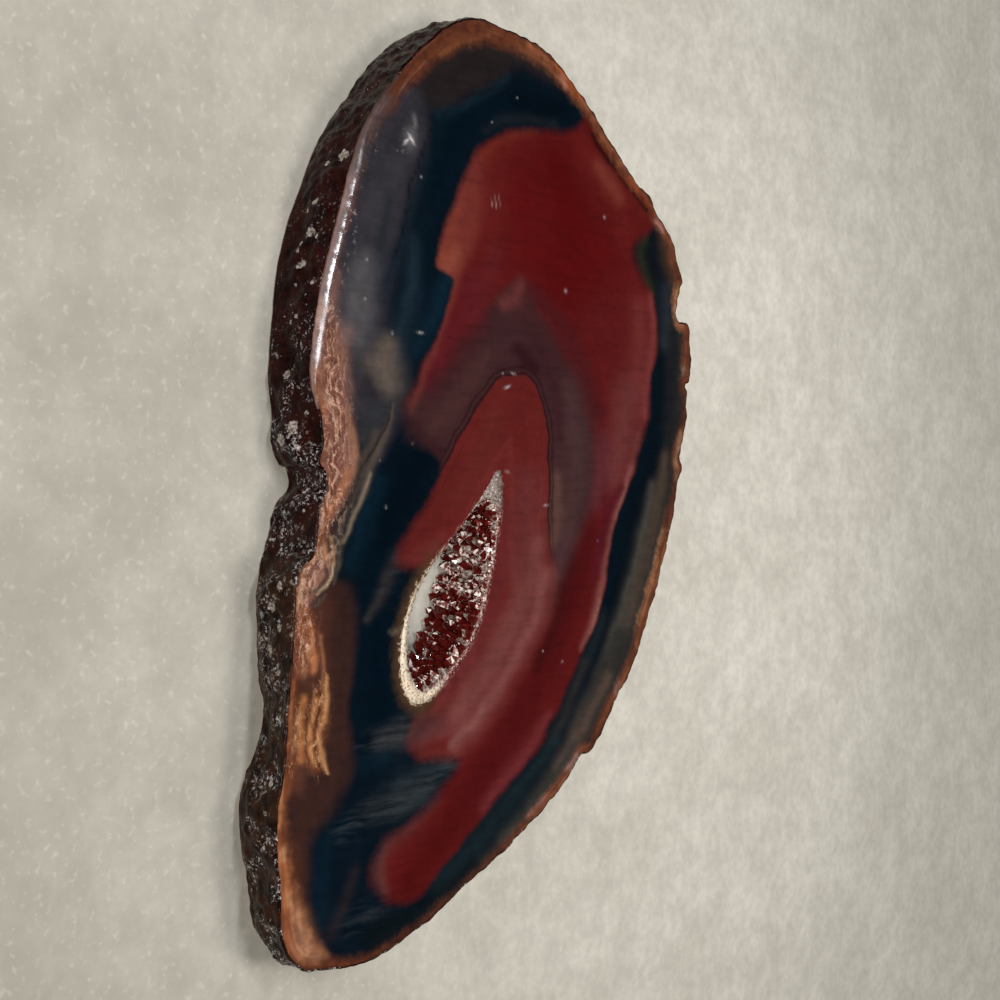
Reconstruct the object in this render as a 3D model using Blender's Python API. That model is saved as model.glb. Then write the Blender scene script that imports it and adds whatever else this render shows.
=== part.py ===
"""A dyed agate slice: a sawn and polished slab of banded stone with its natural rind round the edge,
and the crust of quartz crystals that lines the hollow going right through it.

Metres, +Z up. The slab lies flat on Z = 0 with its length along X. The origin is under the middle of its box.
"""

import functools
import math
import random

import bmesh
import bpy
from mathutils import Vector, noise

MM = 0.001
THICKNESS = 6.0 * MM
EDGE_ROUNDING = 0.3 * MM
GAP = 0.3 * MM

# The edge of the polished face, anticlockwise from its left end: x, y and how far the rind's foot, on the
# underside, stands out beyond the face (or, where negative, is undercut), in millimetres.
FACE_EDGE = (
    (-41.1, -3.0, 0.3), (-40.6, -6.2, 0.5), (-38.4, -9.9, 1.0), (-35.5, -12.9, 1.2), (-32.4, -15.3, 1.0),
    (-28.6, -17.9, 1.0), (-24.0, -19.4, 1.3), (-20.5, -20.4, 1.5), (-16.5, -21.7, 1.0), (-13.0, -22.5, 0.6),
    (-9.8, -23.1, 0.3), (-6.6, -23.3, 0.2), (-4.4, -22.6, 0.5), (-2.2, -22.5, 0.5), (-0.2, -22.9, -0.5),
    (1.3, -22.0, -0.5), (2.6, -22.6, 0.0), (4.8, -22.9, 0.4), (6.8, -23.5, 0.4), (7.8, -24.5, -0.2),
    (9.6, -25.1, -0.5), (13.0, -25.3, -0.6), (16.2, -25.6, -1.0), (19.5, -26.0, -1.7), (23.0, -26.2, -1.4),
    (26.5, -26.9, -0.7), (30.2, -27.1, -0.8), (33.5, -26.8, -1.1), (36.8, -26.6, -1.3), (39.1, -25.8, -1.4),
    (40.4, -24.2, -1.2), (40.8, -21.8, -0.8), (41.2, -18.8, -0.4), (40.7, -15.2, 0.0), (39.3, -11.0, 0.3),
    (37.0, -6.1, 0.4), (34.3, -1.2, 0.4), (32.2, 2.8, 0.3), (30.2, 6.1, 0.2), (28.5, 8.4, 0.0),
    (27.5, 9.4, -0.3), (27.0, 10.7, 0.0), (24.6, 12.9, 0.2), (21.4, 15.5, 0.3), (18.2, 17.7, 0.3),
    (13.6, 19.7, 0.1), (9.4, 21.6, 0.0), (5.0, 23.1, -0.1), (0.8, 24.3, -0.2), (-0.8, 25.0, -0.2),
    (-2.0, 24.4, -0.5), (-3.6, 25.2, -0.2), (-6.2, 26.1, -0.1), (-8.9, 26.4, 0.0), (-9.6, 25.9, -0.3),
    (-10.4, 26.6, 0.0), (-14.6, 26.8, 0.2), (-16.1, 26.2, 0.3), (-16.5, 24.5, 0.4), (-18.2, 24.1, 0.6),
    (-19.7, 24.7, 0.5), (-20.6, 25.5, 0.2), (-22.4, 24.7, 0.1), (-24.9, 23.0, 0.1), (-26.8, 20.9, 0.1),
    (-28.4, 19.5, 0.1), (-30.2, 16.8, 0.1), (-33.4, 12.8, 0.1), (-36.0, 10.2, 0.1), (-37.8, 8.4, 0.1),
    (-39.3, 5.9, 0.1), (-40.4, 2.8, 0.1),
)  # fmt: skip
COLUMN_WIDTH = 1.0 * MM
ROWS = 8

# The rind's own relief. Lumps and hollows are x and height of the middle, radius and how far it stands out,
# all on the near side. The groove runs the full height of the rind.
ROUGHNESS = 0.30 * MM
ROUGHNESS_SCALE = 2.8 * MM
KNOB_HEIGHT = 0.55 * MM
KNOB_SCALE = 2.1 * MM
BULGE = 0.35 * MM
LUMPS = (
    (-2.7, 2.0, 2.1, 0.9),
    (11.0, 3.2, 2.6, 0.4),
    (-24.0, 2.2, 3.0, 0.3),
    (20.5, 0.8, 2.6, -0.7),
    (-9.0, 2.5, 1.4, -0.4),
)
GROOVE_X, GROOVE_WIDTH, GROOVE_DEPTH = 0.4, 0.8, 0.9

# The hollow where the saw met it, anticlockwise from its sharp left end, and the open way through it inside
# the crust, both in millimetres.
HOLLOW_EDGE = (
    (-0.3, -2.0), (2.2, -4.3), (5.0, -7.1), (7.6, -10.0), (10.2, -12.2), (13.2, -13.6), (16.6, -14.0),
    (19.2, -13.4), (20.2, -11.9), (19.6, -10.0), (17.6, -7.4), (14.6, -4.9), (10.8, -3.3), (6.4, -2.2),
    (2.8, -1.6),
)  # fmt: skip
OPENING_EDGE = (
    (2.3, -3.1), (3.5, -4.6), (5.5, -6.7), (8.0, -9.6), (10.5, -11.7), (13.4, -13.0), (16.6, -13.3),
    (18.7, -12.6), (19.2, -11.6), (18.6, -10.4), (16.8, -8.1), (14.1, -5.8), (10.5, -4.2), (6.2, -3.1),
    (3.8, -2.7),
)  # fmt: skip
HOLLOW_STEP = 1.1 * MM

# The crystals: six-sided points, standing on the opening's wall and leaning a little.
SEED = 31
CRYSTAL_SPACING = 1.45 * MM
CRYSTAL_LEVELS = (0.3, 1.9, 3.5, 5.2)
CRYSTAL_WIDTH = (1.2 * MM, 1.8 * MM)
CRYSTAL_ROOT = 0.6 * MM
CRYSTAL_SHAFT = 0.12 * MM
TIP_ANGLE = math.radians(42)
NEAR_SIDE_SHARE = 0.65
LEAN_SPREAD = 0.35

STONE_COLOUR = (0.10, 0.013, 0.012, 1.0)
CRYSTAL_COLOUR = (0.22, 0.07, 0.06, 1.0)


def clear_scene():
    for old in list(bpy.data.objects):
        bpy.data.objects.remove(old, do_unlink=True)


def material(name, colour, roughness):
    made = bpy.data.materials.new(name)
    made.use_nodes = True
    shader = made.node_tree.nodes["Principled BSDF"]
    shader.inputs["Base Color"].default_value = colour
    shader.inputs["Roughness"].default_value = roughness
    shader.inputs["Metallic"].default_value = 0.0
    return made


def add_object(name, mesh, own_material):
    mesh.materials.append(own_material)
    made = bpy.data.objects.new(name, mesh)
    bpy.context.scene.collection.objects.link(made)
    return made


def closed_curve(points, step):
    """Points every step along a smooth closed curve through the given points. Numbers past x and y, such as
    the rind's lean, are carried along in the same way."""
    count = len(points)
    dense = []
    for i in range(count):
        before, start, end, after = (points[(i + k) % count] for k in (-1, 0, 1, 2))
        for part in range(12):
            t = part / 12
            dense.append(
                tuple(
                    0.5 * (2 * b + (c - a) * t + (2 * a - 5 * b + 4 * c - d) * t**2 + (3 * b - a - 3 * c + d) * t**3)
                    for a, b, c, d in zip(before, start, end, after)
                )
            )
    dense.append(dense[0])
    along = [0.0]
    for one, other in zip(dense, dense[1:]):
        along.append(along[-1] + math.dist(one[:2], other[:2]))
    total = round(along[-1] / step)
    found, k = [], 0
    for i in range(total):
        wanted = along[-1] * i / total
        while along[k + 1] < wanted:
            k += 1
        share = (wanted - along[k]) / (along[k + 1] - along[k])
        found.append(tuple(a + (b - a) * share for a, b in zip(dense[k], dense[k + 1])))
    return found


def outward(loop, i):
    """The direction, level and one long, that points out of an anticlockwise loop at its point i."""
    before, after = Vector(loop[i - 1][:2]), Vector(loop[(i + 1) % len(loop)][:2])
    along = (after - before).normalized()
    return Vector((along.y, -along.x, 0.0))


def in_metres(points):
    return [tuple(value * MM for value in point) for point in points]


def relief(at):
    """How far the rough rind stands out from its smooth shape at a place."""
    rough = ROUGHNESS * noise.noise(at / ROUGHNESS_SCALE)
    nearest = noise.voronoi(at / KNOB_SCALE)[0][0]
    out = rough + KNOB_HEIGHT * (0.35 - nearest)
    if at.y > 0:
        return out
    for x, z, radius, height in LUMPS:
        away = math.hypot(at.x / MM - x, at.z / MM - z) / radius
        out += height * MM * math.exp(-(away**2))
    away = (at.x / MM - GROOVE_X) / GROOVE_WIDTH
    return out - GROOVE_DEPTH * MM * math.exp(-(away**2))


def rind_rings():
    """The rings of points that make the rind, from the underside's edge up to the face's edge."""
    loop = closed_curve(in_metres(FACE_EDGE), COLUMN_WIDTH)
    heights = [EDGE_ROUNDING + (THICKNESS - 2 * EDGE_ROUNDING) * i / (ROWS - 1) for i in range(ROWS)]
    rings = []
    for z in [0.0] + heights + [THICKNESS]:
        inset = EDGE_ROUNDING if z in (0.0, THICKNESS) else 0.0
        level = min(max(z, heights[0]), heights[-1])
        ring = []
        for i, (x, y, lean) in enumerate(loop):
            share = 1 - level / THICKNESS
            swell = BULGE * math.sin(math.pi * level / THICKNESS)
            out = lean * share + swell + relief(Vector((x, y, level))) * (0.35 + 0.65 * math.sin(math.pi * share))
            ring.append(Vector((x, y, z)) + outward(loop, i) * (out - inset))
        rings.append(ring)
    return rings


@functools.cache
def slice_middle():
    """The middle of the rind's box, at the height of the underside."""
    points = [point for ring in rind_rings() for point in ring]
    across = [point.x for point in points]
    deep = [point.y for point in points]
    return Vector(((min(across) + max(across)) / 2, (min(deep) + max(deep)) / 2, 0.0))


def wall(bm, rings):
    """Joins rings of new vertices into a wall, and returns the rings of vertices."""
    made = [[bm.verts.new(point) for point in ring] for ring in rings]
    for lower, upper in zip(made, made[1:]):
        for i in range(len(lower)):
            j = (i + 1) % len(lower)
            bm.faces.new((lower[i], lower[j], upper[j], upper[i]))
    return made


def close_between(bm, outer, inner):
    """Fills the flat face between an outer ring of vertices and the ring of a hole in it."""
    edges = []
    for ring in (outer, inner):
        for i, vertex in enumerate(ring):
            edges.append(bm.edges.get((vertex, ring[(i + 1) % len(ring)])))
    bmesh.ops.triangle_fill(bm, use_beauty=True, use_dissolve=False, edges=edges)


def finished_mesh(bm, name):
    """A mesh of triangles facing outwards, moved so that the origin is under the middle of the slice."""
    bmesh.ops.translate(bm, verts=bm.verts[:], vec=-slice_middle())
    bmesh.ops.triangulate(bm, faces=bm.faces[:])
    bmesh.ops.recalc_face_normals(bm, faces=bm.faces[:])
    mesh = bpy.data.meshes.new(name)
    bm.to_mesh(mesh)
    bm.free()
    return mesh


def slab():
    """The stone itself: the rind, the hollow's wall and the two sawn faces between them."""
    bm = bmesh.new()
    rind = wall(bm, rind_rings())
    loop = closed_curve(in_metres(HOLLOW_EDGE), HOLLOW_STEP)
    hollow = wall(bm, [[Vector((x, y, z)) for x, y in loop] for z in (0.0, THICKNESS)])
    for k in (0, -1):
        close_between(bm, rind[k], hollow[k])
    made = add_object("agate_slice", finished_mesh(bm, "agate_slice"), material("agate", STONE_COLOUR, 0.12))
    made.data.shade_smooth()
    made.data.set_sharp_from_angle(angle=math.radians(40))
    return made


def inset_loop(loop, distance):
    """The loop moved inwards by a distance, with its corners kept the same distance away."""
    moved = []
    for i, point in enumerate(loop):
        here = Vector(point)
        before = (here - Vector(loop[i - 1])).normalized()
        after = (Vector(loop[(i + 1) % len(loop)]) - here).normalized()
        sides = [Vector((-d.y, d.x)) for d in (before, after)]
        middle = (sides[0] + sides[1]).normalized()
        moved.append(here + middle * distance / max(middle.dot(sides[0]), 0.35))
    return moved


def crust_footprint():
    """The crust's outer edge: the hollow's edge less the gap that keeps the two solids apart."""
    return inset_loop(closed_curve(in_metres(HOLLOW_EDGE), HOLLOW_STEP), GAP)


def crust_liner():
    """The layer that the crystals grow from: as thick as the hollow's edge stands back from the opening."""
    outer = crust_footprint()
    inner = closed_curve(in_metres(OPENING_EDGE), HOLLOW_STEP)
    bm = bmesh.new()
    outside = wall(bm, [[Vector((x, y, z)) for x, y in outer] for z in (0.0, THICKNESS)])
    inside = wall(bm, [[Vector((x, y, z)) for x, y in inner] for z in (0.0, THICKNESS)])
    for k in (0, -1):
        close_between(bm, outside[k], inside[k])
    return finished_mesh(bm, "crystal_crust")


def add_crystal(bm, root, pointing, width, turn):
    """One quartz point: a six-sided shaft from its root, and a six-sided tip."""
    side = pointing.orthogonal().normalized()
    other = pointing.cross(side)
    radius = width / 2
    rings = []
    for height in (0.0, CRYSTAL_ROOT + CRYSTAL_SHAFT):
        ring = []
        for k in range(6):
            angle = turn + math.radians(60 * k)
            ring.append(root + pointing * height + (side * math.cos(angle) + other * math.sin(angle)) * radius)
        rings.append(ring)
    made = wall(bm, rings)
    bm.faces.new(list(reversed(made[0])))
    top = bm.verts.new(root + pointing * (CRYSTAL_ROOT + CRYSTAL_SHAFT + radius / math.tan(TIP_ANGLE)))
    for k in range(6):
        bm.faces.new((made[1][k], made[1][(k + 1) % 6], top))


def crystal_objects():
    """Every crystal as a helper object of its own, ready to be fused to the liner."""
    chance = random.Random(SEED)
    loop = closed_curve(in_metres(OPENING_EDGE), CRYSTAL_SPACING)
    helpers = []
    for level, height in enumerate(CRYSTAL_LEVELS):
        for i in range(len(loop)):
            shift = 0.5 * (level % 2)
            here, ahead = Vector(loop[i]), Vector(loop[(i + 1) % len(loop)])
            spot = here.lerp(ahead, shift + chance.uniform(-0.2, 0.2))
            inward = -outward(loop, i)
            lean = Vector([chance.uniform(-LEAN_SPREAD, LEAN_SPREAD) for _ in range(3)])
            pointing = (inward + lean).normalized()
            width = chance.uniform(*CRYSTAL_WIDTH)
            if inward.y > 0:
                width *= NEAR_SIDE_SHARE
            z = height * MM + chance.uniform(-0.3, 0.3) * MM
            bm = bmesh.new()
            root = Vector((spot.x, spot.y, z)) - pointing * CRYSTAL_ROOT
            add_crystal(bm, root, pointing, width, chance.uniform(0, math.radians(60)))
            name = f"crystal_helper_{level}_{i}"
            mesh = finished_mesh(bm, name)
            helper = bpy.data.objects.new(name, mesh)
            helper.hide_render = True
            helper.display_type = "WIRE"
            helpers.append(helper)
    return helpers


def room_for_crystals():
    """The whole space of the crust, from face to face, which trims the crystals flush with both faces and
    keeps their roots out of the stone."""
    bm = bmesh.new()
    rings = wall(bm, [[Vector((x, y, z)) for x, y in crust_footprint()] for z in (0.0, THICKNESS)])
    for ring in rings:
        bm.faces.new(ring)
    room = bpy.data.objects.new("room_for_crystals", finished_mesh(bm, "room_for_crystals"))
    room.hide_render = True
    room.display_type = "WIRE"
    bpy.context.scene.collection.objects.link(room)
    return room


def crystal_crust():
    """The crust that lines the hollow, with its crystals fused to it and cut off flush with both faces."""
    made = add_object("crystal_crust", crust_liner(), material("quartz", CRYSTAL_COLOUR, 0.15))
    helpers = bpy.data.collections.new("crystal_helpers")
    bpy.context.scene.collection.children.link(helpers)
    for helper in crystal_objects():
        helpers.objects.link(helper)
    helpers.hide_render = True
    union = made.modifiers.new("grow_crystals", "BOOLEAN")
    union.operation = "UNION"
    union.operand_type = "COLLECTION"
    union.collection = helpers
    union.solver = "EXACT"
    trim = made.modifiers.new("saw", "BOOLEAN")
    trim.operation = "INTERSECT"
    trim.object = room_for_crystals()
    trim.solver = "EXACT"
    return made


clear_scene()
slab()
crystal_crust()
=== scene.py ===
"""The looks of a dyed agate slice: the polished face and its bands, the rough rind, and the quartz in its
hollow.

Everything is drawn in millimetres on a plan of the slice, with x along it, y across it, away from the side
that the camera sees, and z up from the underside. At the end of making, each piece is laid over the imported
part. Colours are six-figure codes, painted in layers: the dark outer ground, the red figure on it, the inner
red round the hollow, and the copper-coloured rim inside the rind.
"""

import math
import random

import bmesh
import bpy
import numpy as np
from mathutils import Matrix, Vector, noise
from mathutils.geometry import delaunay_2d_cdt


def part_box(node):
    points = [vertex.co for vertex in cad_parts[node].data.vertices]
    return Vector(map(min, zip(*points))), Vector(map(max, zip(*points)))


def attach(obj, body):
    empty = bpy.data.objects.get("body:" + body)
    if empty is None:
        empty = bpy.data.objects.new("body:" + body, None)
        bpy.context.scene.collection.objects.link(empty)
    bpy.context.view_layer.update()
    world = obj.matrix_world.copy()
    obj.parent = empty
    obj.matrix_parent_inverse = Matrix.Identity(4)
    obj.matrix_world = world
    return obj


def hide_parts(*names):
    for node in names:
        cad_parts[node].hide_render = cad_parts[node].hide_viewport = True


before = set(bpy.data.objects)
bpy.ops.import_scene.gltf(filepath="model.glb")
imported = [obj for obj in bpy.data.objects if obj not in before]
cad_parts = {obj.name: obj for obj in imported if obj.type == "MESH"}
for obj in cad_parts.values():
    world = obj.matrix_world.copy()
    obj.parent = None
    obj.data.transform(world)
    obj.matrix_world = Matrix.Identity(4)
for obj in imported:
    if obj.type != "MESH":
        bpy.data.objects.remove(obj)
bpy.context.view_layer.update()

MM = 0.001
THICKNESS = 6.0
# For the bands' waves and the crystals
SEED = 31

# The edge of the polished face, anticlockwise from its left end: x, y, how far the rind's foot stands out
# beyond it, how wide the copper rim is there, and how bright, from 0 to 1.
FACE_EDGE = (
    (-41.1, -3.0, 0.2, 1.9, 0.28), (-40.6, -6.2, 0.3, 2.1, 0.30), (-38.4, -9.9, 0.4, 1.9, 0.26),
    (-35.5, -12.9, 0.3, 1.6, 0.26), (-32.4, -15.3, 0.2, 1.1, 0.22), (-28.6, -17.9, 0.3, 0.8, 0.15),
    (-24.0, -19.4, 0.8, 0.6, 0.25), (-20.5, -20.4, 1.2, 0.5, 0.30), (-16.5, -21.7, 1.0, 0.7, 0.35),
    (-13.0, -22.5, 0.6, 0.9, 0.45), (-9.8, -23.1, 0.3, 0.9, 0.50), (-6.6, -23.3, 0.2, 0.8, 0.50),
    (-4.4, -22.6, 0.5, 0.5, 0.55), (-2.2, -22.5, 0.5, 0.5, 0.50), (-0.2, -22.9, -0.5, 0.5, 0.50),
    (1.3, -22.0, -0.5, 0.5, 0.50), (2.6, -22.6, 0.0, 0.6, 0.55), (4.8, -22.9, 0.4, 0.6, 0.55),
    (6.8, -23.5, 0.4, 0.6, 0.60), (7.8, -24.5, -0.2, 0.6, 0.75), (9.6, -25.1, -0.5, 0.7, 0.80),
    (13.0, -25.3, -0.6, 1.0, 0.55), (16.2, -25.6, -1.0, 0.9, 0.35), (19.5, -26.0, -1.7, 0.9, 0.35),
    (23.0, -26.2, -1.4, 0.8, 0.35), (26.5, -26.9, -0.7, 0.8, 0.45), (30.2, -27.1, -0.8, 1.0, 0.60),
    (33.5, -26.8, -1.1, 1.6, 0.60), (36.8, -26.6, -1.3, 2.3, 0.60), (39.1, -25.8, -1.4, 2.5, 0.62),
    (40.4, -24.2, -1.2, 1.8, 0.50), (40.8, -21.8, -0.8, 0.8, 0.30), (41.2, -18.8, -0.4, 0.5, 0.25),
    (40.7, -15.2, 0.0, 0.4, 0.22), (39.3, -11.0, 0.3, 0.4, 0.25), (37.0, -6.1, 0.4, 0.3, 0.25),
    (34.6, -1.0, 0.2, 0.5, 0.35), (32.5, 3.0, 0.1, 1.0, 0.45), (30.4, 6.2, 0.1, 1.0, 0.50),
    (28.5, 8.4, 0.0, 0.9, 0.45), (27.5, 9.4, -0.3, 0.8, 0.45), (27.1, 10.9, 0.0, 0.8, 0.30),
    (24.8, 12.7, 0.1, 0.9, 0.35), (21.6, 15.4, 0.1, 0.9, 0.45), (18.3, 17.8, 0.1, 0.9, 0.45),
    (13.7, 20.0, 0.0, 1.3, 0.70), (9.5, 22.0, 0.0, 1.3, 0.72), (5.1, 23.5, -0.1, 1.0, 0.40),
    (0.9, 24.7, -0.2, 0.8, 0.30), (-0.8, 25.3, -0.2, 0.9, 0.45), (-1.9, 24.7, -0.5, 0.9, 0.55),
    (-3.6, 25.5, -0.2, 0.9, 0.45), (-6.2, 26.1, -0.1, 0.7, 0.20), (-8.9, 26.4, 0.0, 0.8, 0.25),
    (-9.6, 25.9, -0.3, 0.9, 0.30), (-10.4, 26.6, 0.0, 1.2, 0.45), (-14.6, 26.8, 0.2, 1.3, 0.40),
    (-16.1, 26.4, 0.1, 1.0, 0.45), (-16.5, 24.8, 0.2, 0.7, 0.80), (-18.2, 24.5, 0.3, 0.6, 0.85),
    (-19.7, 25.0, 0.2, 0.7, 0.70), (-20.6, 25.5, 0.2, 0.7, 0.35), (-22.4, 24.7, 0.1, 1.0, 0.40),
    (-25.1, 23.4, 0.1, 0.9, 0.50), (-27.0, 21.2, 0.1, 0.9, 0.55), (-28.6, 19.8, 0.1, 0.8, 0.45),
    (-30.4, 17.1, 0.1, 0.9, 0.50), (-33.6, 13.2, 0.1, 0.9, 0.50), (-36.1, 10.5, 0.1, 0.9, 0.50),
    (-37.8, 8.4, 0.1, 1.4, 0.52), (-39.3, 5.9, 0.1, 1.5, 0.52), (-40.4, 2.8, 0.1, 1.4, 0.50),
)
HOLLOW_EDGE = (
    (-0.3, -2.0), (2.2, -4.3), (5.0, -7.1), (7.6, -10.0), (10.2, -12.2), (13.2, -13.6), (16.6, -14.0),
    (19.2, -13.4), (20.2, -11.9), (19.6, -10.0), (17.6, -7.4), (14.6, -4.9), (10.8, -3.3), (6.4, -2.2),
    (2.8, -1.6),
)

# The rind's relief: a broad roughness, knobs, pebbles on them, and a bulge halfway up the near side.
ROUGHNESS, ROUGHNESS_SCALE = 0.30, 2.8
KNOB_HEIGHT, KNOB_SCALE = 0.55, 2.1
PEBBLE_HEIGHT, PEBBLE_SCALE = 0.34, 0.85
BULGE = 0.22
# How much of it shows at the face's edge, how much of that is gone where the edge is worn, how much more
# shows on the far side, and how far from y = 0 the near side's shape turns into the far side's.
FACE_RELIEF, WORN_SMOOTHNESS, FAR_RELIEF, SIDE_FADE = 0.45, 0.9, 0.3, 3.0
# Lumps on the near side, and dents where the height is below 0: x, z, radius and height.
LUMPS = (
    (-2.7, 2.0, 2.1, 0.9),
    (11.0, 3.2, 2.6, 0.4),
    (-24.0, 2.2, 3.0, 0.3),
    (20.5, 0.8, 2.6, -0.7),
    (-9.0, 2.5, 1.4, -0.4),
)
# The groove that runs up the near side.
GROOVE_X, GROOVE_WIDTH, GROOVE_DEPTH = 0.4, 0.8, 0.9

# The polished edge is worn to a wide bevel along this stretch of the near side, and has a small rounding
# elsewhere. Each has a width and a drop, and a profile from the rind to the face in shares of them.
WORN_X = (-34.0, -28.0, -25.0, -12.0, -9.0, -5.0)
WORN_SHARE = (0.0, 0.6, 1.0, 1.0, 0.9, 0.0)
WORN_BEVEL = (1.05, 0.44)
WORN_PROFILE = (
    (0.02, 0.89), (0.06, 0.772), (0.245, 0.594), (0.43, 0.416), (0.615, 0.238), (0.80, 0.06), (1.0, 0.0),
)
PLAIN_ROUNDING = (0.20, 0.16)
ARC = [math.pi / 2 * (k + 1) / len(WORN_PROFILE) for k in range(len(WORN_PROFILE))]
PLAIN_PROFILE = tuple((1 - math.cos(angle), 1 - math.sin(angle)) for angle in ARC)
# Which point of its profile is the bevel's outer corner, where the bevel counts as worn, and how far into
# the face the worn look reaches and fades.
BEVEL_CORNER, LEAST_WORN = 1, 0.02
WORN_REACH, WORN_FADE = 0.9, 0.3

# Fineness of the meshes.
COLUMN_WIDTH, HOLLOW_COLUMN = 0.22, 0.3
WALL_ROWS = 24
FINE_SPACING, COARSE_SPACING, LEAST_GAP = 0.2, 0.42, 0.55
UNDERSIDE_SHARE = 2.6
SHARP_ANGLE = math.radians(50)
STONE_IOR, QUARTZ_IOR = 1.54, 1.544
# Where the face is fine: so near its edge, the hollow, the inner red's edge and a mark, and in the fibres of
# the near side and the thin dark line that leads to them.
FINE_EDGE, FINE_HOLLOW, FINE_INNER, FINE_MARK = 2.0, 0.9, 1.1, 0.4
FINE_INNER_TO_X = 8.0
FINE_FIBRES_X, FINE_FIBRES_Y = (-13.0, 27.5), -17.6
FINE_LINE_X, FINE_LINE_Y, FINE_LINE_SLOPE, FINE_LINE_BELOW = (-7.0, 3.0), -14.0, 0.7, -15.5

# Zones of one colour with a soft edge: the colour, then x, y and the edge's softness round the outline,
# anticlockwise. A later zone lies over an earlier one.
GROUND = "04121d"
GROUND_ZONES = (
    ("241d1e", (
        (-38.9, 1.0, 1.0), (-39.4, -2.5, 0.8), (-38.2, -6.3, 0.8), (-36.2, -9.8, 0.8), (-34.0, -12.3, 1.0),
        (-32.0, -12.2, 1.2), (-31.8, -9.0, 0.7), (-33.0, -6.0, 0.6), (-35.3, -2.8, 0.7), (-37.0, -0.5, 1.0),
    )),
    ("302e34", (
        (-33.4, -12.6, 0.8), (-31.0, -16.5, 0.8), (-26.0, -20.2, 0.8), (-18.0, -23.0, 0.8),
        (-10.0, -24.5, 0.8), (-6.0, -22.0, 1.0), (-4.0, -18.5, 1.2), (-1.0, -16.8, 1.0), (-3.0, -15.0, 0.9),
        (-6.0, -13.6, 0.9), (-9.0, -13.2, 1.0), (-12.0, -15.5, 1.5), (-16.0, -15.0, 1.4), (-21.0, -13.4, 0.9),
        (-26.0, -11.4, 0.7), (-30.0, -10.6, 0.8),
    )),
    ("39231f", (
        (9.3, -21.0, 0.8), (11.0, -23.6, 0.8), (18.0, -26.5, 1.0), (27.0, -28.0, 1.0), (35.0, -27.5, 1.0),
        (38.5, -24.3, 1.0), (33.0, -23.9, 1.0), (29.5, -23.2, 0.9), (27.8, -21.0, 1.1), (24.5, -19.2, 0.8),
        (20.0, -19.7, 0.5), (16.0, -19.0, 0.6), (12.5, -18.7, 0.9), (9.8, -19.4, 0.8),
    )),
    ("2c2a28", (
        (41.5, -13.0, 1.0), (39.5, -6.0, 1.0), (34.0, 3.0, 1.0), (29.0, 11.0, 1.0), (21.0, 18.5, 1.0),
        (10.0, 24.0, 1.0), (-2.0, 27.0, 1.0), (-15.0, 29.0, 1.0), (-22.0, 27.5, 1.0), (-28.0, 22.5, 1.0),
        (-25.4, 21.2, 0.8), (-20.5, 22.9, 1.2), (-14.5, 24.0, 1.0), (-8.0, 23.3, 0.8), (-2.5, 22.0, 0.7),
        (2.0, 20.1, 0.6), (7.0, 17.8, 0.6), (12.0, 15.6, 0.7), (18.0, 12.1, 0.7), (23.0, 9.0, 0.8),
        (27.2, 5.1, 0.8), (31.2, 0.6, 0.9), (35.2, -5.0, 1.0), (38.6, -11.0, 0.9),
    )),
    ("8e6254", (
        (-12.6, -22.6, 0.8), (-8.0, -24.6, 0.5), (1.0, -24.0, 0.5), (5.0, -24.2, 0.5), (9.0, -26.2, 0.5),
        (12.4, -25.6, 0.5), (11.5, -23.9, 0.4), (10.3, -23.0, 0.3), (9.4, -21.9, 0.25), (8.0, -21.3, 0.25),
        (6.6, -21.2, 0.25), (5.0, -21.9, 0.25), (3.5, -20.8, 0.3), (2.0, -19.8, 0.3), (0.5, -18.9, 0.35),
        (-1.0, -18.6, 0.4), (-3.0, -19.0, 0.5), (-5.0, -19.6, 0.45), (-8.0, -20.2, 0.5), (-10.4, -20.0, 0.7),
        (-12.2, -20.6, 0.9),
    )),
)
FIGURE = "5a1515"
FIGURE_ZONES = (
    ("6e2d27", (
        (-28.5, -4.2, 1.4), (-28.2, -7.2, 0.8), (-23.0, -10.2, 0.8), (-18.0, -11.6, 0.6), (-16.4, -9.6, 0.5),
        (-16.9, -7.6, 0.6), (-18.4, -6.2, 0.6), (-21.0, -4.9, 0.8), (-24.5, -3.8, 1.0),
    )),
    ("3c2224", (
        (-18.2, 0.9, 0.6), (-16.0, -2.2, 0.9), (-12.4, -5.8, 1.2), (-9.2, -9.0, 1.2), (-6.4, -12.8, 1.2),
        (-4.8, -15.5, 1.0), (-1.0, -14.5, 1.0), (1.0, -9.6, 1.0), (4.0, -7.0, 0.9), (9.0, -2.0, 1.0),
        (14.5, 0.0, 1.5), (17.0, 1.5, 1.4), (14.0, 4.0, 1.0), (10.6, 6.3, 1.0), (7.4, 8.4, 1.1),
        (4.4, 10.2, 1.3), (0.8, 11.3, 1.5), (-3.5, 11.2, 1.7), (-7.5, 9.9, 1.6), (-11.4, 7.0, 1.3),
        (-14.8, 4.2, 1.0),
    )),
)
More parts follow.
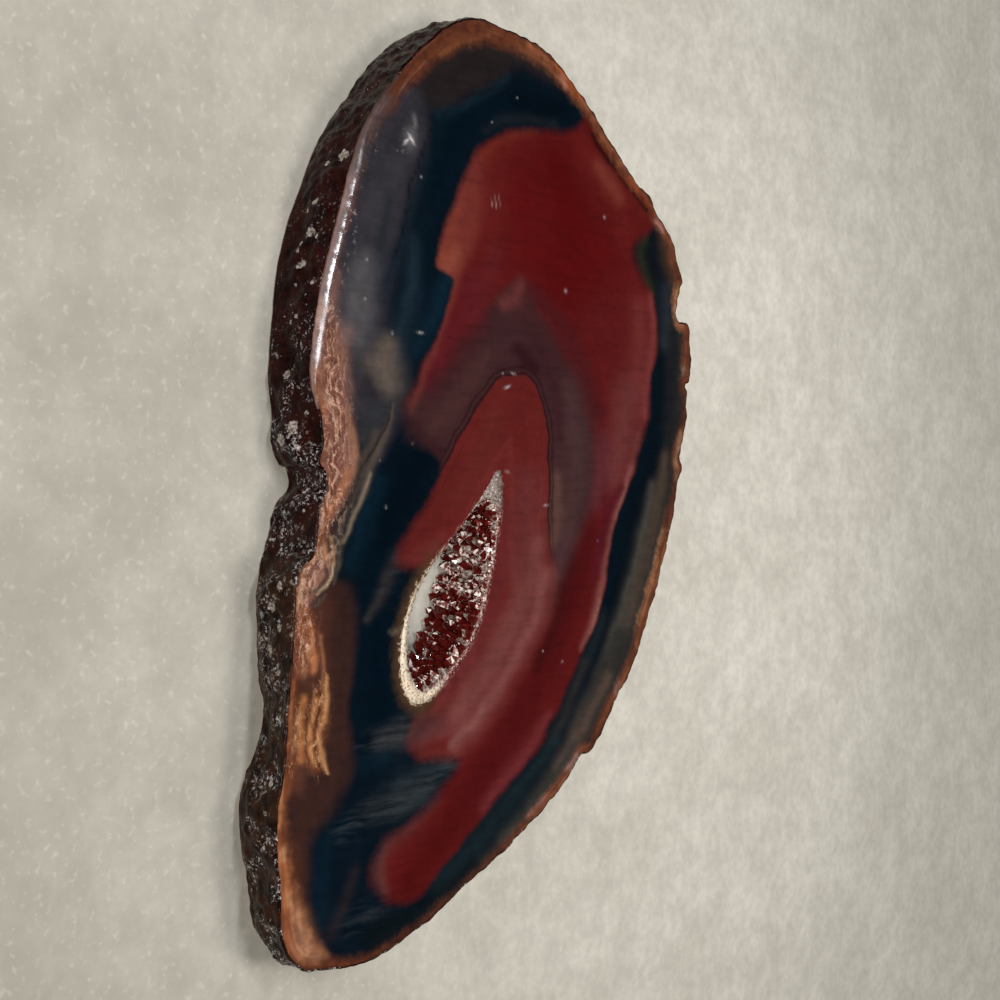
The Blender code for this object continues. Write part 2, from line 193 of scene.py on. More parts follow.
RED_EDGE = (
    (-34.8, 10.0, 0.5), (-33.1, 7.8, 0.7), (-32.5, 5.3, 0.8), (-32.2, 3.0, 0.8), (-31.8, 1.0, 0.6),
    (-31.4, -1.0, 0.5), (-30.3, -3.0, 0.5), (-29.0, -4.7, 0.6), (-27.0, -6.0, 0.6), (-25.0, -7.2, 0.6),
    (-23.0, -8.1, 0.5), (-21.0, -9.0, 0.5), (-19.0, -9.6, 0.5), (-17.9, -9.6, 0.4), (-17.4, -8.2, 0.3),
    (-16.5, -7.8, 0.3), (-13.0, -9.2, 0.3), (-10.0, -10.9, 0.4), (-7.5, -12.3, 0.8), (-5.0, -13.6, 1.1),
    (-3.0, -13.0, 1.1), (-1.9, -10.6, 0.6), (-0.6, -9.3, 0.45), (1.4, -9.8, 0.45), (3.4, -11.2, 0.6),
    (5.0, -12.6, 0.8), (6.6, -13.8, 1.1), (7.8, -13.9, 1.1), (8.2, -12.6, 0.9), (8.6, -11.0, 0.7),
    (12.0, -10.0, 0.5), (19.0, -10.0, 0.5), (20.4, -10.6, 0.8), (21.6, -12.0, 1.0), (23.2, -13.0, 1.0),
    (24.6, -11.8, 1.0), (25.0, -9.4, 0.9), (25.3, -7.6, 0.9), (26.0, -7.0, 0.9), (27.8, -8.9, 0.9),
    (29.6, -11.2, 0.9), (30.6, -13.7, 0.8), (31.2, -15.4, 0.9), (32.4, -16.4, 1.1), (33.6, -17.0, 1.1),
    (34.9, -16.8, 1.0), (36.2, -15.7, 0.8), (37.0, -14.3, 0.6), (37.0, -12.6, 0.5), (36.0, -10.6, 0.5),
    (34.0, -8.1, 0.4), (32.0, -5.2, 0.4), (30.8, -3.6, 0.4), (28.9, -1.0, 0.5), (26.9, 1.7, 0.5),
    (25.6, 3.8, 0.6), (24.0, 4.4, 0.6), (22.3, 6.1, 0.5), (19.8, 7.5, 0.5), (16.9, 9.7, 0.4),
    (15.2, 11.0, 0.35), (12.0, 12.5, 0.3), (9.0, 13.2, 0.3), (6.3, 13.8, 0.3), (4.0, 14.8, 0.3),
    (1.7, 16.1, 0.35), (0.0, 17.2, 0.4), (-2.7, 18.0, 0.6), (-5.2, 19.2, 0.7), (-7.7, 19.8, 0.5),
    (-10.4, 20.0, 0.4), (-12.0, 20.8, 0.4), (-13.9, 21.1, 0.4), (-16.0, 21.0, 0.4), (-18.2, 20.4, 0.5),
    (-19.6, 19.0, 0.9), (-21.0, 17.9, 0.9), (-23.0, 17.4, 0.8), (-24.2, 18.3, 0.7), (-25.4, 20.2, 0.6),
    (-27.2, 21.6, 0.5), (-30.2, 19.4, 0.5), (-33.0, 16.2, 0.5), (-35.4, 12.8, 0.5), (-36.4, 10.9, 0.5),
)
INNER = "621f1c"
INNER_EDGE = (
    (-9.2, 1.0, 0.40), (-8.9, -1.3, 0.30), (-7.6, -3.2, 0.25), (-5.6, -5.1, 0.25), (-3.2, -7.0, 0.25),
    (-1.0, -8.5, 0.30), (0.6, -9.6, 0.5), (3.0, -12.0, 0.8), (5.4, -14.8, 0.9), (8.6, -16.0, 0.8),
    (10.0, -12.0, 0.6), (12.0, -9.0, 0.6), (19.0, -9.0, 0.6), (20.6, -11.4, 0.9), (22.4, -13.8, 1.0),
    (25.2, -13.4, 0.9), (25.6, -9.8, 0.9), (24.4, -5.4, 1.0), (21.9, -2.2, 1.0), (18.6, 0.9, 1.1),
    (15.4, 3.2, 1.1), (12.2, 4.8, 1.1), (9.6, 5.2, 1.2), (6.4, 4.6, 0.8), (3.0, 4.5, 0.35),
    (-1.0, 4.55, 0.25), (-4.4, 4.35, 0.25), (-7.0, 3.5, 0.30), (-8.7, 2.3, 0.35),
)

# Thin dark lines that follow the inner red's edge: how far inside it, half the width, and how dark. They end
# at this x, and where x less a part of y passes this sum, each over a fading stretch.
DARK_LINES = ((-0.12, 0.22, 0.75), (-0.66, 0.24, 0.50), (0.85, 0.16, 0.14))
LINES_TO_X, LINES_X_FADE = 7.0, 4.5
LINES_TO_SUM, LINES_Y_PART, LINES_SUM_FADE = 15.5, 1.2, 3.0
# How the edges of the bands wander: size, height and level of two layers of noise.
BAND_WAVES = ((2.6, 0.30, 1.3), (0.8, 0.10, 7.7))
ZONE_STEP, ZONE_MARGIN = 0.6, 3.0
# Spacing of the points along the edges that depths are measured from, and the furthest depth that counts, in
# widths of a band's soft edge.
BAND_STEP, RIM_STEP, FINE_STEP, FURTHEST = 0.5, 0.4, 0.8, 4

# Brush strokes: the colour, how strongly it covers, then x, y and half the width along the stroke.
STROKE_REACH, STROKE_FALL = 2.5, 0.8
GROUND_STROKES = (
    ("2c282a", 0.50, ((-16.0, 22.8, 0.7), (-10.0, 22.8, 0.9), (-5.0, 21.8, 0.7))),
    ("000b16", 0.95, ((-35.0, 7.0, 0.9), (-34.4, 3.0, 1.6), (-34.0, 0.0, 1.5))),
    ("00101c", 0.85, ((-34.0, -1.5, 1.2), (-31.5, -6.2, 1.3), (-28.0, -8.9, 1.2), (-24.0, -10.4, 0.9))),
    ("071820", 0.60, ((-31.0, -9.0, 0.9), (-27.0, -10.6, 0.8), (-22.0, -11.7, 0.8), (-18.5, -12.2, 0.8))),
    ("000b16", 0.85, ((-1.6, -11.0, 1.4), (0.4, -12.8, 2.4), (3.5, -15.0, 2.2), (7.0, -16.2, 1.5))),
    ("01101b", 0.90, ((8.5, -17.0, 1.6), (13.0, -16.6, 1.9), (18.0, -16.6, 2.0), (21.5, -16.0, 1.6))),
    ("0c2836", 0.45, ((1.0, -16.4, 0.8), (4.0, -17.8, 1.0), (7.6, -19.4, 0.9))),
    ("09202c", 0.60, ((24.0, -15.5, 1.0), (24.6, -18.0, 0.8))),
    ("0a2230", 0.90, ((-17.2, -8.4, 0.7), (-15.2, -9.4, 1.1), (-12.6, -11.0, 1.0), (-10.2, -12.2, 0.7))),
    ("1c2b36", 0.85, ((-20.0, -12.6, 0.7), (-15.5, -12.6, 1.0), (-11.0, -14.0, 1.2), (-8.4, -14.6, 0.8))),
    ("15202c", 0.75, ((-27.0, -11.0, 0.45), (-23.5, -12.4, 0.5), (-19.5, -13.9, 0.6), (-14.5, -16.4, 0.7))),
    ("122b38", 0.55, ((-36.5, -1.0, 0.35), (-34.5, -4.0, 0.4), (-33.0, -6.0, 0.4), (-31.2, -9.6, 0.4))),
    ("1a2026", 0.70, ((-33.3, 5.5, 0.5), (-33.2, 2.0, 0.5), (-32.4, -1.5, 0.5), (-31.0, -4.2, 0.4))),
    ("050c12", 0.70, ((-36.4, -1.2, 0.12), (-35.2, -3.2, 0.15), (-34.2, -4.6, 0.15), (-33.2, -6.6, 0.15),
                      (-32.4, -7.8, 0.15), (-31.0, -9.6, 0.14), (-29.2, -10.9, 0.14), (-26.6, -11.9, 0.14),
                      (-24.6, -13.0, 0.16), (-22.8, -13.2, 0.14), (-20.6, -13.7, 0.14),
                      (-18.0, -14.8, 0.12))),
    ("3c2c24", 0.60, ((-38.4, 6.0, 0.9), (-38.6, 2.6, 0.9), (-38.8, 0.6, 0.6))),
    ("4b494d", 0.35, ((-26.0, -14.8, 0.9), (-21.0, -17.0, 1.3))),
    ("6a686c", 0.22, ((-30.8, -12.4, 0.35), (-29.4, -12.5, 0.4))),
    ("232a31", 0.60, ((-23.0, -15.2, 0.4), (-18.5, -16.2, 0.5), (-15.5, -17.0, 0.4))),
    ("5a575a", 0.85, ((-17.4, -18.0, 1.1), (-14.0, -18.6, 1.6), (-11.4, -19.0, 1.3))),
    ("706257", 0.78, ((-10.6, -15.2, 0.9), (-8.8, -15.8, 1.6), (-7.4, -15.2, 1.2))),
    ("1c1c22", 0.60, ((-7.6, -17.4, 0.7), (-5.6, -16.4, 0.8))),
    ("7a5c55", 0.75, ((-16.0, -20.7, 0.4), (-12.6, -21.5, 0.6), (-9.6, -21.9, 0.7))),
    ("313437", 0.65, ((-5.4, -14.6, 0.7), (-4.4, -17.2, 0.9), (-2.8, -18.0, 0.6))),
    ("1d1d20", 0.80, ((-15.0, 23.6, 1.0), (-10.0, 23.8, 0.9), (-5.0, 23.4, 0.9), (-1.0, 22.0, 0.7))),
    ("040f18", 0.90, ((-12.5, 21.9, 0.8), (-8.0, 21.5, 1.2), (-3.0, 20.6, 1.3), (1.0, 18.9, 1.2),
                      (5.0, 16.8, 1.1), (10.0, 14.8, 1.0), (14.0, 13.2, 0.9))),
    ("4e4036", 0.90, ((-2.0, 22.4, 0.6), (2.0, 21.3, 0.8), (5.5, 20.1, 0.9), (10.0, 18.3, 0.9),
                      (14.5, 16.2, 0.8))),
    ("57524a", 0.50, ((1.0, 20.2, 0.5), (5.0, 19.0, 0.8), (9.0, 17.7, 0.9), (14.0, 15.3, 0.8),
                      (17.5, 13.2, 0.6))),
    ("33322f", 0.80, ((16.0, 14.8, 0.8), (20.5, 11.6, 0.9), (24.6, 8.6, 0.8))),
    ("57463e", 0.80, ((20.0, 13.4, 0.6), (23.0, 10.8, 0.9), (25.6, 8.6, 0.9), (28.0, 5.8, 0.6))),
    ("1e2428", 0.70, ((14.0, 12.6, 0.6), (18.0, 10.4, 0.7))),
    ("2c2a2a", 0.80, ((18.6, 9.6, 0.7), (22.5, 7.4, 0.8), (25.5, 5.0, 0.6))),
    ("1b282c", 0.80, ((25.5, 5.8, 0.8), (29.6, 0.6, 1.0), (33.4, -5.0, 1.2), (36.3, -9.2, 1.1))),
    ("3a3a36", 0.85, ((26.6, 8.2, 0.7), (29.6, 4.8, 0.8), (32.2, 1.2, 0.7), (33.8, -1.6, 0.5))),
    ("0d1416", 0.75, ((35.2, -5.4, 0.8), (37.0, -9.0, 0.9), (38.5, -13.0, 0.9), (39.2, -17.0, 1.3))),
    ("0d1216", 0.95, ((-24.2, 19.7, 1.0), (-22.4, 19.6, 1.3), (-20.4, 20.4, 1.1))),
    ("2a2a1c", 0.80, ((-24.7, 19.0, 0.6), (-22.8, 18.2, 0.6), (-20.6, 18.9, 0.7), (-18.6, 20.2, 0.6))),
    ("2a2e34", 0.80, ((-19.2, 22.4, 1.0), (-16.5, 22.4, 0.9), (-13.8, 22.3, 0.8))),
    ("4a3024", 0.75, ((-24.4, 22.4, 0.9), (-22.6, 22.9, 1.1), (-20.6, 23.6, 0.8))),
    ("3b3b3d", 0.75, ((22.4, -12.0, 1.1), (22.6, -14.6, 0.9), (22.8, -16.6, 0.5))),
    ("1f2a30", 0.85, ((25.5, -8.6, 0.7), (26.5, -11.0, 1.2), (27.2, -14.0, 1.3))),
    ("2c3034", 0.60, ((27.4, -10.8, 1.2), (28.2, -14.0, 1.3), (28.4, -17.0, 1.0))),
    ("0c161c", 0.60, ((29.6, -16.8, 0.5), (29.2, -18.8, 0.6))),
    ("302c2e", 0.90, ((7.6, -14.4, 0.7), (9.0, -15.2, 0.6), (10.6, -16.2, 0.5), (12.4, -17.6, 0.35))),
    ("071420", 0.85, ((31.0, -19.3, 1.4), (34.0, -21.4, 1.6), (38.0, -20.4, 1.7))),
    ("0e2b3a", 0.22, ((29.5, -21.0, 0.9), (32.5, -22.6, 0.9), (36.5, -22.4, 0.8))),
    ("2a2426", 0.60, ((33.4, -19.0, 0.5), (36.0, -20.3, 0.6), (38.0, -21.4, 0.6))),
    ("8a7c6c", 0.60, ((13.7, -14.2, 0.25), (13.9, -15.2, 0.2))),
    ("4a2a1e", 0.70, ((30.0, -25.2, 0.7), (33.0, -24.9, 0.7), (36.0, -24.6, 0.6))),
    ("a8704f", 0.80, ((34.2, -25.4, 0.4), (36.8, -24.5, 0.8), (38.8, -23.4, 0.7), (39.8, -22.0, 0.3))),
    ("5a3226", 0.60, ((10.4, -22.2, 0.8), (14.0, -22.6, 1.0), (18.0, -22.8, 1.0))),
    ("6e4230", 0.55, ((12.0, -24.4, 0.9), (16.0, -24.6, 1.0), (20.0, -24.6, 1.0), (25.0, -25.0, 0.9))),
    ("3a2118", 0.50, ((17.4, -24.6, 0.5), (18.4, -23.0, 0.6))),
    ("4a403a", 0.85, ((-3.0, -16.8, 0.4), (-1.0, -17.9, 0.5), (1.4, -18.9, 0.5), (3.6, -20.1, 0.5),
                      (5.6, -21.0, 0.45), (8.2, -21.2, 0.3))),
    ("5c5046", 0.70, ((-5.6, -14.6, 0.14), (-3.4, -15.6, 0.3), (-1.0, -16.9, 0.4), (1.6, -18.0, 0.4))),
    ("8a7a68", 0.75, ((0.4, -17.2, 0.12), (2.4, -18.3, 0.22), (4.2, -19.3, 0.22), (6.0, -20.2, 0.14))),
    ("5a5040", 0.60, ((5.6, -20.4, 0.2), (7.6, -20.7, 0.2), (9.4, -21.2, 0.16))),
    ("241a18", 0.85, ((-5.4, -14.9, 0.06), (-3.6, -15.7, 0.10), (-2.0, -16.8, 0.12), (-0.6, -17.9, 0.13),
                      (0.5, -18.6, 0.15), (2.0, -19.4, 0.16), (3.5, -20.4, 0.18), (4.8, -21.3, 0.2))),
    ("8a6458", 0.40, ((-11.6, -19.6, 0.5), (-8.6, -19.9, 0.5), (-6.2, -19.5, 0.4))),
    ("a3745c", 0.45, ((-5.2, -19.6, 0.4), (-3.2, -19.2, 0.4), (-1.0, -19.0, 0.4), (1.4, -19.9, 0.4))),
    ("8a5a44", 0.70, ((-11.0, -21.6, 0.8), (-8.0, -21.8, 0.8), (-5.5, -21.0, 0.6))),
    ("6b4436", 0.70, ((-9.4, -20.6, 0.16), (-7.8, -20.9, 0.2), (-6.2, -20.5, 0.16))),
    ("caa089", 0.60, ((-9.0, -22.7, 0.25), (-6.8, -22.8, 0.35), (-5.6, -22.0, 0.3))),
    ("7a4a38", 0.75, ((-4.9, -20.9, 0.16), (-4.5, -20.1, 0.18), (-3.6, -19.8, 0.18), (-2.8, -20.3, 0.18),
                      (-2.9, -21.2, 0.16), (-3.8, -21.5, 0.16), (-4.6, -21.2, 0.14))),
    ("c48a6a", 0.70, ((-4.2, -20.7, 0.2), (-3.4, -20.5, 0.25), (-3.3, -21.0, 0.2))),
    ("c08468", 0.70, ((-5.6, -21.3, 0.2), (-5.2, -22.1, 0.25), (-4.6, -22.4, 0.2))),
    ("8c5844", 0.65, ((-2.2, -21.6, 0.5), (0.4, -21.4, 0.6), (2.4, -21.9, 0.5))),
    ("c07c54", 0.65, ((0.2, -19.8, 0.35), (1.6, -20.4, 0.4), (3.0, -21.5, 0.4), (4.2, -22.3, 0.4))),
    ("6a4030", 0.75, ((1.4, -19.6, 0.12), (2.6, -20.4, 0.14), (3.6, -21.3, 0.14), (4.4, -21.9, 0.12))),
    ("a8805c", 0.80, ((5.0, -22.1, 0.10), (5.6, -21.4, 0.12), (6.4, -21.1, 0.12), (7.4, -21.2, 0.10))),
    ("cdb592", 0.90, ((7.6, -21.3, 0.09), (8.6, -21.4, 0.11), (9.5, -21.9, 0.11), (10.1, -22.8, 0.08))),
    ("2a1a10", 0.90, ((8.0, -21.9, 0.16), (8.8, -21.9, 0.2), (9.5, -22.5, 0.2), (9.9, -23.3, 0.16))),
    ("2a1a10", 0.80, ((5.4, -22.1, 0.14), (6.0, -21.6, 0.16), (6.8, -21.5, 0.14))),
    ("c79262", 0.90, ((5.8, -22.3, 0.16), (6.5, -21.9, 0.16), (7.3, -22.0, 0.16))),
    ("2e1c12", 0.80, ((10.2, -22.2, 0.3), (10.7, -22.8, 0.35), (11.0, -23.4, 0.25))),
    ("3a2418", 0.75, ((6.2, -22.7, 0.12), (7.0, -22.5, 0.16), (7.8, -22.9, 0.16), (8.3, -23.5, 0.12))),
    ("d0a078", 0.75, ((7.0, -23.3, 0.3), (8.2, -24.2, 0.4), (9.6, -24.5, 0.4), (10.8, -24.5, 0.35))),
    # Painted highlight: this near-white stroke along the edge stands in for glints there.
    ("f0e0c0", 0.85, ((7.8, -24.2, 0.16), (8.7, -24.6, 0.18), (10.0, -24.6, 0.18), (11.2, -24.3, 0.12))),
    ("c27a52", 0.85, ((11.4, -24.1, 0.35), (13.0, -23.4, 0.35), (14.6, -23.2, 0.4), (16.2, -23.3, 0.25))),
    ("bc7a56", 0.85, ((11.6, -24.9, 0.5), (14.0, -24.5, 0.6), (16.0, -24.4, 0.5))),
    ("d89468", 0.70, ((13.2, -23.9, 0.18), (14.4, -23.9, 0.25), (15.4, -23.6, 0.14))),
    ("5a2c1a", 0.70, ((11.6, -23.6, 0.14), (13.0, -23.0, 0.14), (14.8, -22.8, 0.12))),
    ("a06a4a", 0.70, ((13.6, -22.4, 0.16), (15.6, -22.3, 0.18), (17.8, -22.4, 0.2), (19.4, -22.1, 0.2),
                      (20.6, -22.0, 0.12))),
    ("9a5c38", 0.85, ((18.4, -22.6, 0.5), (20.6, -23.0, 0.9), (22.6, -23.6, 0.9), (24.2, -22.8, 0.4))),
    # Painted light and shade: bright strokes on the tops of the golden ridges, and dark strokes for the shade
    # just under them.
    ("cf9464", 0.90, ((16.8, -22.0, 0.14), (18.6, -21.9, 0.22), (20.0, -22.1, 0.24), (21.4, -22.8, 0.20),
                      (22.6, -22.7, 0.22), (23.8, -22.2, 0.2), (24.9, -21.8, 0.1))),
    ("2e160e", 0.80, ((18.0, -22.5, 0.12), (19.8, -22.7, 0.14), (21.3, -23.2, 0.14), (22.8, -23.1, 0.12),
                      (24.2, -22.5, 0.1))),
    ("c88c5c", 0.85, ((18.6, -23.0, 0.18), (20.2, -23.3, 0.22), (21.4, -23.8, 0.22), (22.8, -23.6, 0.22),
                      (24.0, -22.9, 0.14))),
    ("3a1c12", 0.75, ((18.8, -23.6, 0.14), (20.6, -24.0, 0.14), (22.4, -24.2, 0.12), (23.6, -23.6, 0.1))),
    ("b87848", 0.85, ((18.4, -24.3, 0.3), (20.0, -24.7, 0.4), (21.8, -24.8, 0.4), (23.4, -24.6, 0.25))),
    ("e0aa7c", 0.85, ((19.6, -24.8, 0.2), (20.8, -25.2, 0.3), (22.2, -25.4, 0.3), (23.2, -25.7, 0.2))),
    ("8e5436", 0.70, ((23.0, -24.8, 0.2), (24.6, -25.4, 0.25), (26.0, -26.2, 0.25))),
)
FIGURE_STROKES = (
    ("520607", 0.95, ((-29.0, 6.0, 3.2), (-24.0, 8.0, 4.6), (-19.0, 7.0, 3.6))),
    ("580a0c", 0.75, ((-27.0, 1.0, 2.6), (-21.0, 2.0, 2.8), (-19.5, 9.0, 3.2), (-22.0, 13.0, 2.6))),
    ("611a16", 0.60, ((-31.0, 10.0, 1.6), (-28.0, 14.0, 2.2), (-24.0, 16.0, 1.5))),
    ("3a100c", 0.65, ((-34.4, 10.4, 0.8), (-32.4, 12.6, 0.8), (-30.4, 15.4, 0.6))),
    ("74342a", 0.80, ((-30.2, 11.8, 0.8), (-29.2, 13.4, 1.0), (-27.8, 15.0, 0.8))),
    ("5a2018", 0.50, ((-29.0, 17.0, 0.8), (-27.0, 19.4, 0.8))),
    ("1c0808", 0.80, ((-33.2, 11.0, 0.22), (-31.4, 13.0, 0.28), (-30.2, 15.0, 0.25), (-28.6, 17.2, 0.25),
                      (-27.0, 19.5, 0.2))),
    ("6e2a1c", 0.75, ((-32.3, 2.6, 0.45), (-31.6, 0.2, 0.5), (-30.4, -2.0, 0.55), (-28.6, -4.0, 0.6))),
    ("5e1a17", 0.60, ((-30.0, -1.4, 1.4), (-26.0, -3.0, 1.6), (-21.0, -3.4, 1.4))),
    ("5b171a", 0.70, ((-15.0, 12.0, 2.0), (-13.0, 15.0, 2.4), (-10.0, 17.0, 2.0))),
    ("6e2e2b", 0.75, ((-17.0, 18.2, 1.4), (-12.0, 18.4, 1.6), (-8.0, 17.6, 1.6))),
    ("693433", 0.85, ((-8.0, 16.2, 1.9), (-4.0, 15.6, 2.2), (0.0, 14.2, 1.8))),
    ("7a3b38", 0.65, ((-18.4, 20.0, 0.5), (-14.5, 20.6, 0.5), (-10.0, 19.5, 0.6), (-6.0, 19.0, 0.6))),
    ("6c3a38", 0.60, ((-4.0, 18.0, 0.7), (-1.0, 17.0, 0.5))),
    ("8c5650", 0.65, ((-0.6, 16.9, 0.4), (1.8, 15.6, 0.5), (4.2, 14.3, 0.5), (6.6, 13.4, 0.45),
                      (9.4, 12.7, 0.45), (12.4, 11.8, 0.5), (15.2, 10.5, 0.45), (17.0, 9.2, 0.3))),
    ("a06a60", 0.45, ((1.0, 16.2, 0.2), (2.6, 15.3, 0.25), (4.2, 14.6, 0.2))),
    ("a06a60", 0.45, ((12.6, 12.0, 0.2), (14.6, 11.1, 0.25), (15.6, 10.5, 0.2))),
    ("521520", 0.80, ((1.2, 15.2, 0.6), (3.4, 13.4, 1.0), (6.4, 12.2, 0.9), (10.0, 11.6, 0.7))),
    ("5c2a30", 0.75, ((-3.0, 12.6, 1.0), (0.0, 12.2, 1.2), (2.6, 11.2, 0.8))),
    ("4c0e10", 0.95, ((5.6, 10.6, 1.0), (10.0, 8.9, 1.7), (15.0, 6.4, 2.0), (20.0, 3.0, 2.2),
                      (25.0, -1.5, 2.0), (29.5, -6.5, 1.7))),
    ("340c0c", 0.60, ((8.2, 8.0, 0.9), (11.5, 6.8, 1.0), (15.0, 5.0, 0.9), (18.0, 3.0, 0.7))),
    ("5a1414", 0.60, ((14.0, 9.4, 0.8), (18.0, 7.0, 1.0), (22.0, 4.0, 0.9))),
    ("6c2b2e", 0.75, ((23.0, 4.6, 0.6), (25.6, 2.2, 0.9), (28.0, -0.8, 0.9), (30.4, -4.0, 0.6))),
    ("4c0d0b", 0.90, ((31.0, -8.0, 1.6), (33.6, -10.6, 1.7), (35.4, -13.2, 1.3))),
    ("5a2c2c", 0.80, ((28.6, -10.0, 0.7), (30.4, -13.0, 1.0), (31.2, -15.2, 1.0))),
    ("5c3632", 0.80, ((31.6, -16.2, 0.8), (33.6, -16.6, 0.8), (35.6, -16.0, 0.6))),
    ("8a4636", 0.85, ((-19.2, -7.6, 0.8), (-18.4, -9.0, 1.0))),
    ("7c382c", 0.60, ((-23.6, -7.4, 0.7), (-21.0, -8.4, 0.8), (-19.0, -9.4, 0.6))),
    ("571820", 0.80, ((-17.4, -5.4, 0.7), (-14.6, -6.4, 0.9), (-11.4, -8.4, 0.9), (-8.0, -10.8, 0.8))),
    ("703632", 0.55, ((-17.0, -7.5, 0.5), (-13.4, -8.8, 0.4), (-10.2, -10.5, 0.45), (-7.4, -12.0, 0.5),
                      (-5.4, -13.0, 0.5))),
    ("5a1c20", 0.70, ((-20.0, -2.6, 0.9), (-17.0, -3.8, 1.0), (-14.0, -5.4, 0.9))),
    ("42161a", 0.70, ((-17.4, 2.6, 0.6), (-14.8, 6.0, 1.1), (-11.4, 9.0, 1.3), (-6.0, 11.6, 1.0))),
    ("663230", 0.75, ((-17.6, 0.9, 0.5), (-16.4, 0.2, 0.9), (-15.4, -1.4, 0.6))),
    ("40181d", 0.55, ((-13.6, -3.8, 0.9), (-10.0, -7.2, 0.9), (-7.0, -10.6, 0.9))),
    ("472f30", 0.85, ((-7.4, 7.8, 1.6), (-3.4, 8.6, 2.0), (1.0, 8.6, 2.0), (5.0, 7.4, 1.4))),
    ("5b4038", 0.80, ((0.4, 5.8, 0.7), (3.4, 5.9, 0.8), (6.4, 5.4, 0.8))),
    ("4b3134", 0.70, ((6.0, 7.4, 1.0), (9.4, 5.6, 0.9), (12.4, 4.4, 0.7))),
    ("482c2a", 0.70, ((-10.4, -3.8, 0.9), (-7.4, -6.4, 1.1), (-4.8, -8.6, 1.1), (-3.4, -10.6, 0.9))),
    ("2e161a", 0.60, ((-3.6, -12.6, 0.9), (-2.6, -10.6, 0.8), (-1.8, -9.4, 0.5))),
    ("35191d", 0.65, ((-12.6, 2.6, 0.7), (-10.6, 4.4, 0.8), (-7.6, 5.6, 0.8), (-3.6, 6.2, 0.6))),
    ("2a1117", 0.90, ((-11.4, 0.4, 0.6), (-10.6, 1.4, 0.9), (-9.8, 2.8, 0.7))),
    ("7b4644", 0.85, ((9.4, 4.8, 0.8), (13.2, 3.4, 0.9), (16.4, 1.2, 0.9), (19.6, -1.6, 0.9),
                      (22.4, -4.4, 0.9), (24.6, -7.4, 0.7))),
    ("5c2c2e", 0.80, ((24.2, -9.0, 0.9), (23.2, -11.4, 1.0), (22.2, -12.8, 0.7))),
    ("5a1c1a", 0.85, ((0.6, -8.8, 0.8), (3.4, -11.0, 0.9), (5.6, -13.0, 1.0), (7.4, -14.6, 0.9))),
)
INNER_STROKES = (
    ("5f1d1b", 0.80, ((-8.0, 1.6, 1.2), (-5.4, 0.6, 1.6), (-3.6, -1.2, 1.5))),
    ("602420", 0.80, ((-5.4, -2.6, 1.0), (-2.4, -3.4, 1.4), (0.4, -5.6, 1.3), (2.6, -7.6, 1.0))),
    ("5a1d1a", 0.80, ((-0.6, -7.4, 0.7), (2.4, -9.4, 0.9), (5.0, -11.6, 1.0), (7.0, -13.6, 0.9))),
    ("6a2c2a", 0.65, ((5.6, -9.2, 0.6), (7.2, -11.4, 0.7), (8.0, -13.2, 0.6))),
    ("62201e", 0.70, ((-5.6, 3.0, 0.7), (-1.0, 3.2, 0.8), (3.0, 3.0, 0.8))),
    ("652f2e", 0.85, ((1.0, 1.6, 1.5), (5.0, 1.6, 1.7), (9.0, 0.6, 1.7))),
    ("703e3b", 0.85, ((6.4, 3.2, 0.9), (10.0, 2.4, 1.3), (14.0, -0.2, 1.6), (18.0, -3.6, 1.6),
                      (21.6, -7.4, 1.3))),
    ("5f2628", 0.60, ((3.0, -0.8, 0.6), (8.0, -1.6, 0.7), (12.6, -3.0, 0.7), (16.6, -5.6, 0.7),
                      (19.6, -8.8, 0.7))),
    ("7b4644", 0.90, ((9.6, 4.2, 0.7), (13.0, 3.1, 0.8), (16.4, 0.8, 0.8), (19.8, -2.2, 0.8),
                      (22.6, -5.2, 0.8), (24.2, -7.6, 0.6))),
    ("845450", 0.55, ((21.4, -4.0, 0.2), (23.0, -6.0, 0.25), (24.2, -8.2, 0.2))),
    ("6a3436", 0.60, ((20.0, -4.0, 0.3), (22.2, -7.0, 0.35), (23.2, -9.4, 0.3))),
    ("502c2d", 0.85, ((22.0, -9.6, 1.0), (22.8, -11.4, 1.2), (23.0, -13.0, 0.9))),
    ("402a2c", 0.70, ((21.4, -11.2, 0.7), (22.4, -12.8, 0.9))),
)
